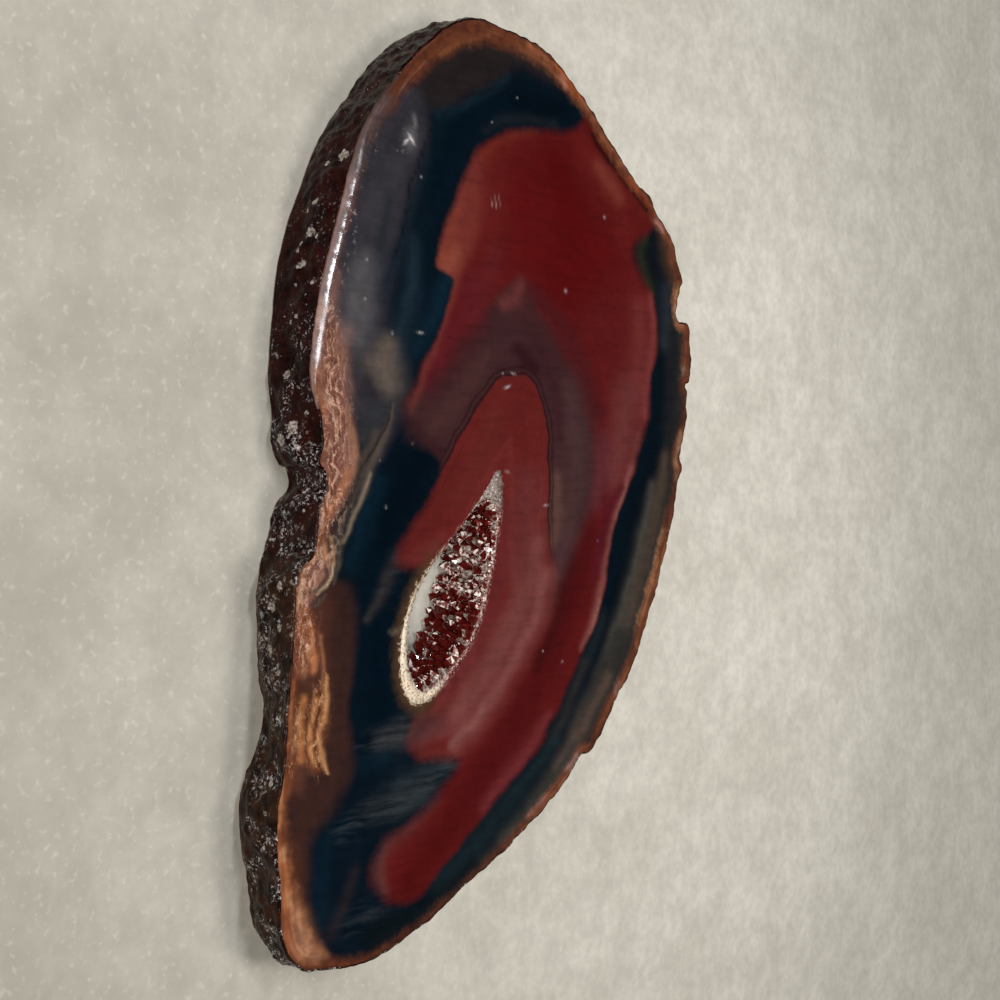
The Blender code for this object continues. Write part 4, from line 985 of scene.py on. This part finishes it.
class Graph:
    """A material's nodes, made by short calls. A number, a colour or another node's output can be joined to
    any input."""

    def __init__(self, name):
        self.material = bpy.data.materials.new(name)
        self.material.use_nodes = True
        self.tree = self.material.node_tree
        self.shader = self.tree.nodes["Principled BSDF"]
        self.output = self.tree.nodes["Material Output"]
        self.place = self.tree.nodes.new("ShaderNodeTexCoord").outputs["Object"]

    def node(self, kind, inputs=(), **settings):
        """A new node with its settings made and its inputs joined."""
        made = self.tree.nodes.new(kind)
        for key, value in settings.items():
            setattr(made, key, value)
        for socket, value in dict(inputs).items():
            self.join(value, made.inputs[socket])
        return made

    def join(self, value, socket):
        """Gives an input a value, or links it to another node's output."""
        if isinstance(value, bpy.types.NodeSocket):
            self.tree.links.new(value, socket)
        elif isinstance(value, str):
            socket.default_value = (*tone(value), 1.0)
        else:
            socket.default_value = value

    def number(self, name):
        """A number stored at the mesh's points."""
        return self.node("ShaderNodeAttribute", attribute_name=name).outputs["Fac"]

    def colour(self, name):
        """A colour stored at the mesh's points."""
        return self.node("ShaderNodeAttribute", attribute_name=name).outputs["Color"]

    def apart(self):
        """The place's x, y and z, in metres."""
        return self.node("ShaderNodeSeparateXYZ", {"Vector": self.place}).outputs

    def vector(self, **parts):
        """A vector made of its X, Y and Z."""
        return self.node("ShaderNodeCombineXYZ", parts).outputs["Vector"]

    def math(self, operation, *values):
        """The result of one step of arithmetic."""
        return self.node("ShaderNodeMath", enumerate(values), operation=operation).outputs[0]

    def times(self, first, second):
        """The product of two numbers."""
        return self.math("MULTIPLY", first, second)

    def plus(self, first, second):
        """The sum of two numbers."""
        return self.math("ADD", first, second)

    def minus(self, first, second):
        """The first number less the second."""
        return self.math("SUBTRACT", first, second)

    def noise(self, size, detail=2.0, roughness=0.5, vector=None):
        """Smooth noise from 0 to 1, whose features are about the given size in millimetres."""
        inputs = {"Scale": 1 / (size * MM), "Detail": detail, "Roughness": roughness}
        inputs["Vector"] = self.place if vector is None else vector
        return self.node("ShaderNodeTexNoise", inputs).outputs["Fac"]

    def between(self, value, low, high, to_low=0.0, to_high=1.0):
        """A smooth change from one value to another as the input goes from low to high."""
        inputs = {"Value": value, "From Min": low, "From Max": high, "To Min": to_low, "To Max": to_high}
        return self.node("ShaderNodeMapRange", inputs, interpolation_type="SMOOTHSTEP").outputs["Result"]

    def mix(self, share, first, second):
        """The first colour where the share is 0, the second where it is 1."""
        made = self.node("ShaderNodeMix", data_type="RGBA")
        self.join(share, made.inputs["Factor"])
        self.join(first, made.inputs[6])
        self.join(second, made.inputs[7])
        return made.outputs[2]

    def bump(self, height, distance, normal=None):
        """A bump whose height is in millimetres, on top of another one if that is given."""
        inputs = {"Height": height, "Distance": distance * MM}
        if normal is not None:
            inputs["Normal"] = normal
        return self.node("ShaderNodeBump", inputs).outputs["Normal"]

    def set(self, **inputs):
        """Joins values to the shader's inputs."""
        for name, value in inputs.items():
            self.join(value, self.shader.inputs[name.replace("_", " ")])


def streaks(g, depth, fine, along, detail=2.0, distortion=0.0):
    """Noise drawn out into bands that follow the edge from which a depth is measured."""
    x, y, _ = g.apart()
    vector = g.vector(X=g.times(depth, MM / fine), Y=g.times(x, 1 / along), Z=g.times(y, 1 / along))
    inputs = {"Vector": vector, "Scale": 1 / MM, "Detail": detail, "Roughness": 0.55}
    return g.node("ShaderNodeTexNoise", inputs | {"Distortion": distortion}).outputs["Fac"]


def lines(g, noise_value, half_width, strength):
    """Thin lines where noise crosses its middle value."""
    away = g.math("ABSOLUTE", g.minus(noise_value, 0.5))
    return g.between(away, half_width, 0.0, 0.0, strength)


def face_material():
    """The polished stone, dyed in bands, with painted glints and painted light and shade in places."""
    g = Graph("polished_agate")
    edge, inner_depth = g.number("edge_depth"), g.number("inner_depth")
    fine = g.minus(g.noise(0.5, 3.0), 0.5)
    broad = g.minus(g.noise(2.2, 2.0), 0.5)
    wander = g.plus(g.times(fine, 0.7), g.times(broad, 0.5))

    outer = streaks(g, edge, 1.6, 20.0, 1.0)
    ground = g.mix(g.between(outer, 0.35, 0.70, 0.0, 0.20), g.colour("ground"), "01060a")
    x, y, _ = g.apart()
    across = g.vector(X=g.plus(x, g.times(broad, 0.5 * MM)), Y=g.times(y, 0.12))
    hairs = g.noise(0.6, 3.0, 0.6, across)
    feathers = g.number("feathers")
    ground = g.mix(g.times(feathers, g.between(hairs, 0.40, 0.72, 0.0, 0.28)), ground, "54585a")
    ground = g.mix(g.times(feathers, g.between(hairs, 0.54, 0.30, 0.0, 0.40)), ground, "041018")
    ground = g.mix(g.between(g.noise(1.5, 4.0, 0.65), 0.38, 0.62, 0.12, 0.0), ground, "000000")

    bands = streaks(g, inner_depth, 2.2, 22.0, 1.0)
    figure = g.mix(g.between(bands, 0.35, 0.70, 0.0, 0.10), g.colour("figure"), "1c0508")
    inner = g.mix(g.between(bands, 0.40, 0.70, 0.0, 0.12), g.colour("inner"), "2a0808")
    inner = g.mix(g.between(bands, 0.48, 0.30, 0.0, 0.04), inner, "b87870")

    red = g.between(g.plus(g.number("red_share"), wander), -1.0, 1.0)
    paint = g.mix(red, ground, figure)
    inside = g.between(g.plus(g.number("inner_share"), g.times(wander, 0.6)), -1.0, 1.0)
    paint = g.mix(g.times(inside, red), paint, inner)

    depth = g.plus(inner_depth, g.times(fine, 0.22))
    for middle, half, strength in DARK_LINES:
        away = g.math("ABSOLUTE", g.minus(depth, middle))
        cover = g.times(g.between(away, half, 0.0, 0.0, strength), g.number("line"))
        paint = g.mix(g.times(cover, red), paint, "23090e")

    layers = streaks(g, edge, 0.45, 5.0, 3.0, 0.3)
    rim_tone = g.mix(g.between(layers, 0.35, 0.62, 0.30, 0.0), g.colour("rim"), "2a120c")
    rim_tone = g.mix(g.between(g.noise(1.5, 3.0), 0.36, 0.56, 0.38, 0.0), rim_tone, "2a120c")
    rim_tone = g.mix(g.between(layers, 0.58, 0.78, 0.0, 0.15), rim_tone, "cfa188")
    reach = g.plus(g.number("rim_depth"), g.times(g.plus(fine, broad), 0.9))
    paint = g.mix(g.between(reach, -0.90, 0.55), paint, rim_tone)

    away = g.number("hollow_away")
    near_end = g.between(y, -8.5 * MM, -11.5 * MM)
    halo = g.between(g.plus(away, g.times(fine, 0.8)), 1.5, 0.0, 0.0, 0.90)
    paint = g.mix(g.times(halo, near_end), paint, "4e3826")
    ragged = g.plus(away, g.times(g.minus(g.noise(0.5, 3.0, 0.6), 0.5), 1.6))
    grains = g.between(ragged, 0.16, -0.04, 0.0, 0.70)
    paint = g.mix(g.times(grains, near_end), paint, "c8b294")
    grains = g.times(grains, g.minus(1.0, near_end))
    paint = g.mix(g.times(grains, g.between(g.noise(0.25), 0.45, 0.60, 0.15, 0.8)), paint, "b48680")

    copper = g.number("copper_fibre")
    bent = g.plus(edge, g.plus(g.times(broad, 2.2), g.times(fine, 0.8)))
    strands = streaks(g, bent, 0.50, 2.2, 3.0, 1.2)
    paint = g.mix(g.times(copper, g.between(strands, 0.50, 0.40, 0.0, 0.80)), paint, "583229")
    paint = g.mix(g.times(copper, g.between(strands, 0.53, 0.62, 0.0, 0.75)), paint, "e0b8a0")
    threads = streaks(g, bent, 0.30, 1.8, 2.0, 1.4)
    paint = g.mix(g.times(copper, lines(g, threads, 0.055, 0.60)), paint, "4a261c")

    crumbled = g.noise(0.5, 4.0, 0.7)
    paint = g.mix(g.times(copper, g.between(crumbled, 0.46, 0.38, 0.0, 0.60)), paint, "3c2019")
    paint = g.mix(g.times(copper, g.between(crumbled, 0.56, 0.66, 0.0, 0.60)), paint, "ecc8b4")

    golden = g.number("golden_fibre")
    turn = g.times(x, math.tau / (3.2 * MM))
    turn = g.plus(turn, g.times(broad, 7.0))
    waves = g.times(g.math("SINE", turn), 0.35)
    ropes = streaks(g, g.plus(bent, waves), 0.36, 1.2, 4.0, 1.0)
    # Painted light and shade: the golden ridges are pale on their lit tops and dark in the shade between
    # them.
    paint = g.mix(g.times(golden, g.between(ropes, 0.54, 0.66, 0.0, 0.75)), paint, "e0b084")
    paint = g.mix(g.times(golden, g.between(ropes, 0.48, 0.40, 0.0, 0.75)), paint, "42221a")
    paint = g.mix(g.times(golden, lines(g, threads, 0.035, 0.55)), paint, "3a1c12")

    skin = g.plus(edge, g.times(fine, 0.5))
    worn = g.number("worn")
    unworn = g.minus(1.0, worn)
    paint = g.mix(g.times(g.between(skin, 0.42, 0.10, 0.0, 0.75), unworn), paint, "351a13")
    # Painted highlights: pale flecks near the edge of the copper stand in for glints along its ragged rim.
    edge_glints = g.times(g.between(edge, 0.9, 0.2), g.between(g.noise(0.26, 3.0, 0.7), 0.58, 0.66))
    paint = g.mix(g.times(edge_glints, g.times(copper, 0.8)), paint, "f0dccc")
    mottle = g.noise(0.9, 4.0, 0.6)
    paint = g.mix(g.between(mottle, 0.25, 0.75, 0.14, 0.0), paint, "000000")
    paint = g.mix(g.between(hairs, 0.30, 0.55, 0.14, 0.0), paint, "000000")
    paint = g.mix(g.number("mark"), paint, "dcd4d4")
    chips = g.between(g.noise(0.60, 4.0, 0.75), 0.56, 0.66)
    paint = g.mix(g.times(chips, g.times(g.number("frost"), 0.32)), paint, "c4b4b0")
    crisp = g.between(x, -28 * MM, -21 * MM)

    speckle = g.noise(0.22, 2.0, 0.6)
    gloss = g.between(mottle, 0.3, 0.7, 0.07, 0.12)
    gloss = g.plus(gloss, g.times(worn, g.between(crisp, 0.0, 1.0, 0.22, 0.03)))
    gloss = g.plus(gloss, g.between(skin, 0.45, 0.15, 0.0, 0.35))
    gloss = g.plus(gloss, g.times(g.number("pits"), 10.0))
    gloss = g.plus(gloss, g.times(copper, 0.20))
    ripple = g.bump(g.noise(3.0, 2.0), 0.004)
    rough = g.bump(g.times(speckle, worn), 0.006, ripple)
    rough = g.bump(g.times(threads, g.math("MAXIMUM", copper, golden)), 0.012, rough)
    g.set(Base_Color=paint, Roughness=gloss, IOR=STONE_IOR, Normal=rough)
    return g.material


def rind_material():
    """The natural skin: dark, glossy and knobbly, with pale chalcedony and painted glints in places."""
    g = Graph("rind")
    x, _, _ = g.apart()
    coarse = g.noise(1.6, 4.0, 0.6)
    grains = g.noise(0.32, 4.0, 0.65)
    base = g.mix(g.between(coarse, 0.35, 0.65), "120505", "2a0f0c")
    along = g.plus(x, g.times(coarse, 4 * MM))
    brown = g.between(along, 5 * MM, 13 * MM)
    base = g.mix(g.times(brown, 0.8), base, g.mix(g.between(coarse, 0.35, 0.65), "140a06", "382214"))
    base = g.mix(g.between(grains, 0.52, 0.68, 0.0, 0.35), base, "3c1810")
    # Pale crumbs of chalcedony, made denser along the brown stretch as painted glints.
    glinting = g.times(brown, g.between(x, 22 * MM, 17 * MM, 0.0, 0.07))
    crumbs_and_glints = g.between(g.plus(g.noise(0.42, 3.0, 0.7), glinting), 0.60, 0.68)
    blotch = g.plus(g.number("pale"), g.times(g.minus(grains, 0.5), 1.6))
    pale = g.between(blotch, 0.45, 0.62)
    pale = g.minus(pale, g.between(blotch, 0.80, 1.0, 0.0, 0.45))
    pale = g.math("MAXIMUM", pale, g.times(crumbs_and_glints, g.between(coarse, 0.52, 0.62, 0.0, 0.5)))
    base = g.mix(g.times(pale, g.between(g.noise(0.25, 2.0), 0.35, 0.65, 0.25, 0.85)), base, "c0b6ac")
    # Painted highlights: clusters of near-white flecks stand in for the lamps' glints on the wet knobs.
    clusters = g.between(g.noise(2.4, 3.0, 0.6), 0.47, 0.60)
    clusters = g.times(clusters, g.between(x, -24 * MM, -12 * MM, 0.25, 1.0))
    dense = g.between(x, -8 * MM, -3 * MM, 0.0, 0.035)
    painted_glints = g.between(g.plus(g.noise(0.38, 5.0, 0.8), dense), 0.56, 0.65, 0.0, 0.75)
    base = g.mix(g.times(painted_glints, clusters), base, "d8d4d4")
    bumps = g.bump(g.noise(0.8, 3.0, 0.6), 0.10)
    cells = {"Scale": 1 / (0.42 * MM), "Vector": g.place}
    pebbles = g.node("ShaderNodeTexVoronoi", cells, feature="SMOOTH_F1").outputs["Distance"]
    bumps = g.bump(pebbles, 0.03, bumps)
    gloss = g.between(grains, 0.35, 0.65, 0.16, 0.28)
    g.set(Base_Color=base, Roughness=gloss, IOR=STONE_IOR, Specular_IOR_Level=0.05, Normal=bumps)
    return g.material


CLEAR, MILKY, CRUST, SPARKLE = range(4)


def crystal_corners(root, pointing, width, shaft, tip_angle, turn):
    """The corners of one six-sided quartz point: two rings of six and the tip."""
    side = pointing.orthogonal().normalized()
    other = pointing.cross(side)
    radius = width / 2
    corners = []
    for height in (-CRYSTAL_ROOT, shaft):
        for k in range(6):
            angle = turn + math.radians(60 * k)
            sideways = side * math.cos(angle) + other * math.sin(angle)
            corners.append(root + pointing * height + sideways * radius)
    corners.append(root + pointing * (shaft + radius / math.tan(math.radians(tip_angle))))
    return corners


def add_crystal(bm, corners, kinds):
    """Adds one quartz point to the mesh, kept between the two faces of the slice. Its base has the first
    kind, and each of its twelve facets one of the others."""
    level = (CRYSTAL_MARGIN, THICKNESS - CRYSTAL_MARGIN)
    verts = [bm.verts.new((x, y, min(max(z, level[0]), level[1]))) for x, y, z in corners]
    faces = [bm.faces.new(verts[5::-1])]
    for k in range(6):
        j = (k + 1) % 6
        faces.append(bm.faces.new((verts[k], verts[j], verts[6 + j], verts[6 + k])))
        faces.append(bm.faces.new((verts[6 + k], verts[6 + j], verts[12])))
    for face, kind in zip(faces, kinds):
        face.material_index = kind


def grow_crystals(bm):
    """Covers the crust's inner wall with quartz points, clear or milky."""
    chance = random.Random(SEED)
    loop = closed_curve(CRUST_EDGE, CRYSTAL_SPACING)
    ways = -outward(loop)
    for level in range(CRYSTAL_LEVELS):
        for i in range(len(loop)):
            share = 0.5 * (level % 2) + chance.uniform(-CRYSTAL_JITTER, CRYSTAL_JITTER)
            spot = loop[i] + (loop[(i + 1) % len(loop)] - loop[i]) * share
            inward = Vector((*ways[i], 0.0))
            lean = Vector([chance.uniform(-LEAN_SPREAD, LEAN_SPREAD) for _ in range(3)])
            pointing = (inward + lean).normalized()
            width = chance.uniform(*CRYSTAL_WIDTH)
            shaft = chance.uniform(*CRYSTAL_SHAFT)
            tip = chance.uniform(*TIP_ANGLE)
            z = (level + 0.5 + chance.uniform(-CRYSTAL_JITTER, CRYSTAL_JITTER)) * THICKNESS / CRYSTAL_LEVELS
            turn = chance.uniform(0, math.radians(60))
            paleness = LEAST_PALE + math.exp(-(((spot[0] - PALE_X) / PALE_REACH) ** 2))
            is_near = inward.y > NEAR_WALL
            is_rim = z > MILKY_ABOVE and (is_near or spot[0] > BROAD_END_X)
            is_milky = chance.random() < MILKY_SHARE * paleness or is_rim
            if is_milky:
                kinds = [MILKY] * (1 + CRYSTAL_FACETS)
            else:
                # Painted highlights: a share of the facets is painted pale where the points would sparkle.
                sparkle_chance = SPARKLE_SHARE * paleness
                facets = [SPARKLE if chance.random() < sparkle_chance else CLEAR for _ in range(CRYSTAL_FACETS)]
                kinds = [CLEAR] + facets
            if is_milky or z > MILKY_ABOVE:
                width *= MILKY_SIZE
            if is_near:
                width *= NEAR_SIDE_SHARE
                shaft *= NEAR_SIDE_SHARE
            else:
                shaft += FOOT_GROWTH * (1 - z / THICKNESS)
            corners = crystal_corners(Vector((*spot, z)), pointing, width, shaft, tip, turn)
            add_crystal(bm, corners, kinds)


def crust(bm):
    """The milky layer under the crystals: a ring with a rough, sugary inner wall and flat sawn ends."""
    outer = closed_curve(HOLLOW_EDGE, CRUST_COLUMN)
    outer = outer - outward(outer) * CRUST_CLEARANCE
    inner = closed_curve(CRUST_EDGE, CRUST_COLUMN)
    inner_way = -outward(inner)
    caps = face_triangles(outer, inner, np.zeros((0, 2)))
    levels = [THICKNESS * k / CRUST_ROWS for k in range(CRUST_ROWS + 1)]
    walls = []
    for z in levels:
        grit = np.array([noise.noise(Vector((x, y, z)) / GRIT_SCALE) for x, y in inner])
        places = inner + inner_way * (GRIT_HEIGHT * grit)[:, None]
        walls.append([bm.verts.new((x, y, z)) for x, y in places])
    ends = [[bm.verts.new((x, y, z)) for x, y in outer] for z in (0.0, THICKNESS)]
    made = []
    for below, above in zip(walls, walls[1:]):
        for i, j, over_j, over_i in ring_quads(0, 0, len(inner)):
            made.append(bm.faces.new((below[j], below[i], above[over_i], above[over_j])))
    for i, j, over_j, over_i in ring_quads(0, 0, len(outer)):
        made.append(bm.faces.new((ends[0][i], ends[0][j], ends[1][over_j], ends[1][over_i])))
    for ring, wall, turn in ((ends[0], walls[0], -1), (ends[1], walls[-1], 1)):
        corners = ring + wall
        made += [bm.faces.new([corners[k] for k in triangle[::turn]]) for triangle in caps]
    for face in made:
        face.material_index = CRUST
        face.smooth = True


def druse():
    """The crust of quartz that lines the hollow."""
    bm = bmesh.new()
    grow_crystals(bm)
    crust(bm)
    bmesh.ops.triangulate(bm, faces=bm.faces[:])
    mesh = bpy.data.meshes.new("druse")
    bm.to_mesh(mesh)
    bm.free()
    points = np.empty(len(mesh.vertices) * 3)
    mesh.vertices.foreach_get("co", points)
    mesh.vertices.foreach_set("co", in_scene(points.reshape(-1, 3)).ravel())
    for made in (clear_material(), milky_material(), crust_material(), sparkle_material()):
        mesh.materials.append(made)
    mesh.update()
    return placed("druse", mesh)


def clear_material():
    """Clear quartz, dyed red."""
    g = Graph("clear_quartz")
    g.set(Base_Color="8a2620", Roughness=0.04, IOR=QUARTZ_IOR, Transmission_Weight=0.75)
    absorb = g.node("ShaderNodeVolumeAbsorption", {"Color": "f04030", "Density": 120.0})
    g.tree.links.new(absorb.outputs["Volume"], g.output.inputs["Volume"])
    return g.material


def milky_material():
    """Cloudy quartz, partly clear."""
    g = Graph("milky_quartz")
    clouds = g.noise(0.5, 3.0, 0.6)
    base = g.mix(g.between(clouds, 0.35, 0.65), "6a2e28", "e0d4c8")
    g.set(Base_Color=base, Roughness=0.10, IOR=QUARTZ_IOR, Transmission_Weight=0.35)
    return g.material


def sparkle_material():
    """Facets of a clear crystal painted pale and white: painted highlights for the points' sparkle."""
    g = Graph("painted_sparkle_quartz")
    base = g.mix(g.between(g.noise(0.3, 2.0), 0.42, 0.60), "7a342c", "f2eae0")
    g.set(Base_Color=base, Roughness=0.18, IOR=QUARTZ_IOR)
    return g.material


def crust_material():
    """The sugary quartz that the points grow from. Where the saw cut it, it is beige at the broad end, grey
    at the narrow one, and pink along the far side."""
    g = Graph("quartz_crust")
    x, y, z = g.apart()
    grains = g.noise(0.22, 3.0, 0.7)
    sawn = g.between(z, (THICKNESS - 0.05) * MM, (THICKNESS - 0.01) * MM)
    wall = g.mix(g.between(grains, 0.40, 0.62), "7c3028", "e0d2c6")
    beige = g.mix(g.between(grains, 0.36, 0.52), "9a7a60", "ecdcc4")
    beige = g.mix(g.between(g.noise(0.7, 3.0, 0.6), 0.46, 0.36, 0.0, 0.55), beige, "a88c6c")
    brownish = g.mix(g.between(grains, 0.42, 0.58), "5e4030", "c0a488")
    beige = g.mix(g.between(x, 8.5 * MM, 14.5 * MM), brownish, beige)
    grey = g.mix(g.between(grains, 0.40, 0.60), "66544e", "a2948a")
    pink = g.mix(g.between(grains, 0.50, 0.64), "5a1c1a", "c09890")
    rim = g.mix(g.between(y, -8.0 * MM, -10.5 * MM), pink, beige)
    rim = g.mix(g.between(x, 4.5 * MM, 2.5 * MM), rim, grey)
    rim = g.mix(g.between(g.noise(0.3, 2.0), 0.60, 0.70, 0.0, 0.7), rim, "fff4e4")
    grit = g.bump(g.noise(0.18, 3.0, 0.7), 0.06)
    g.set(Base_Color=g.mix(sawn, wall, rim), Roughness=0.35, IOR=STONE_IOR, Normal=grit)
    return g.material


def floor_material():
    """A plain pale floor, a little uneven, with painted light on the far side and painted shade further out.
    """
    g = Graph("pale_floor")
    cloud = g.noise(14.0, 3.0, 0.6)
    grain = g.noise(1.1, 4.0, 0.6)
    _, y, _ = g.apart()
    # Painted light: the floor is brighter towards the far side and darker towards the near side.
    shade = g.between(y, -70 * MM, 70 * MM)
    darker = g.mix(shade, "9e9a8e", "d6d2c5")
    lighter = g.mix(shade, "aeaa9e", "e4e0d4")
    base = g.mix(g.between(cloud, 0.3, 0.7), darker, lighter)
    base = g.mix(g.between(g.noise(3.5, 4.0, 0.6), 0.35, 0.65, 0.16, 0.0), base, "969288")
    base = g.mix(g.between(grain, 0.3, 0.7, 0.24, 0.0), base, "98948a")
    base = g.mix(g.between(g.noise(0.7, 3.0), 0.55, 0.75, 0.0, 0.22), base, "e6e2d6")
    # Painted shade: the floor darkens away from the slice.
    away = g.node("ShaderNodeVectorMath", {0: g.place}, operation="LENGTH").outputs["Value"]
    base = g.mix(g.between(away, 45 * MM, 105 * MM, 0.0, 0.30), base, "807c70")
    g.set(Base_Color=base, Roughness=0.75, Normal=g.bump(g.noise(1.3, 4.0, 0.6), 0.05))
    return g.material


def floor():
    """The flat floor that the slice lies on."""
    half = FLOOR_SIZE / 2 * MM
    mesh = bpy.data.meshes.new("floor")
    corners = [(x * half, y * half, BOX_LOW[2]) for x, y in ((-1, -1), (1, -1), (1, 1), (-1, 1))]
    mesh.from_pydata(corners, [], [(0, 1, 2, 3)])
    mesh.materials.append(floor_material())
    made = placed("floor", mesh)


def camera():
    """The photograph's view: from the near side at 45 degrees, with the slice's right end towards the foot
    of the frame."""
    data = bpy.data.cameras.new("camera")
    data.lens = CAMERA_LENS
    data.sensor_width = 36.0
    data.clip_start = 0.005
    made = placed("camera", data)
    slope = math.sqrt(0.5)
    turn = Matrix(((0, -1, 0), (slope, 0, -slope), (slope, 0, slope)))
    made.matrix_world = Matrix.Translation(in_scene(CAMERA_AT)[0]) @ turn.to_4x4()
    bpy.context.scene.camera = made


def area_light(name, at, size, watts, colour):
    """A round lamp that points at the middle of the slice."""
    data = bpy.data.lights.new(name, "AREA")
    data.shape = "DISK"
    data.size = size * MM
    data.energy = watts
    data.color = tuple(tone(colour))
    made = placed(name, data)
    made.location = Vector(at) * MM
    made.rotation_euler = (-Vector(at)).to_track_quat("-Z", "Y").to_euler()
    return made


def window():
    """A narrow window up to the left, which the worn bevel reflects."""
    start, end = Vector(WINDOW_FROM), Vector(WINDOW_TO)
    made = area_light("window", (start + end) / 2, (end - start).length, WINDOW_POWER, WINDOW_COLOUR)
    made.data.shape = "RECTANGLE"
    made.data.size_y = WINDOW_WIDTH * MM
    along = (end - start).normalized()
    back = (start + end).normalized()
    back = (back - along * back.dot(along)).normalized()
    made.rotation_euler = Matrix((along, back.cross(along), back)).transposed().to_euler()


def lights():
    """A soft lamp overhead, another above the camera, the window, and a little light from all round."""
    # The polished face would mirror this lamp as a white disc when seen from above
    area_light("overhead", *OVERHEAD_LAMP).visible_glossy = False
    area_light("front", *FRONT_LAMP)
    window()
    world = bpy.data.worlds.new("room")
    world.use_nodes = True
    background = world.node_tree.nodes["Background"]
    background.inputs["Color"].default_value = ROOM_COLOUR
    background.inputs["Strength"].default_value = ROOM_STRENGTH
    bpy.context.scene.world = world
    bpy.context.scene.view_settings.view_transform = "Standard"


camera()
agate = stone()
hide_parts("agate_slice")
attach(agate, "root")
quartz = druse()
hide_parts("crystal_crust")
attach(quartz, "root")
floor()
lights()
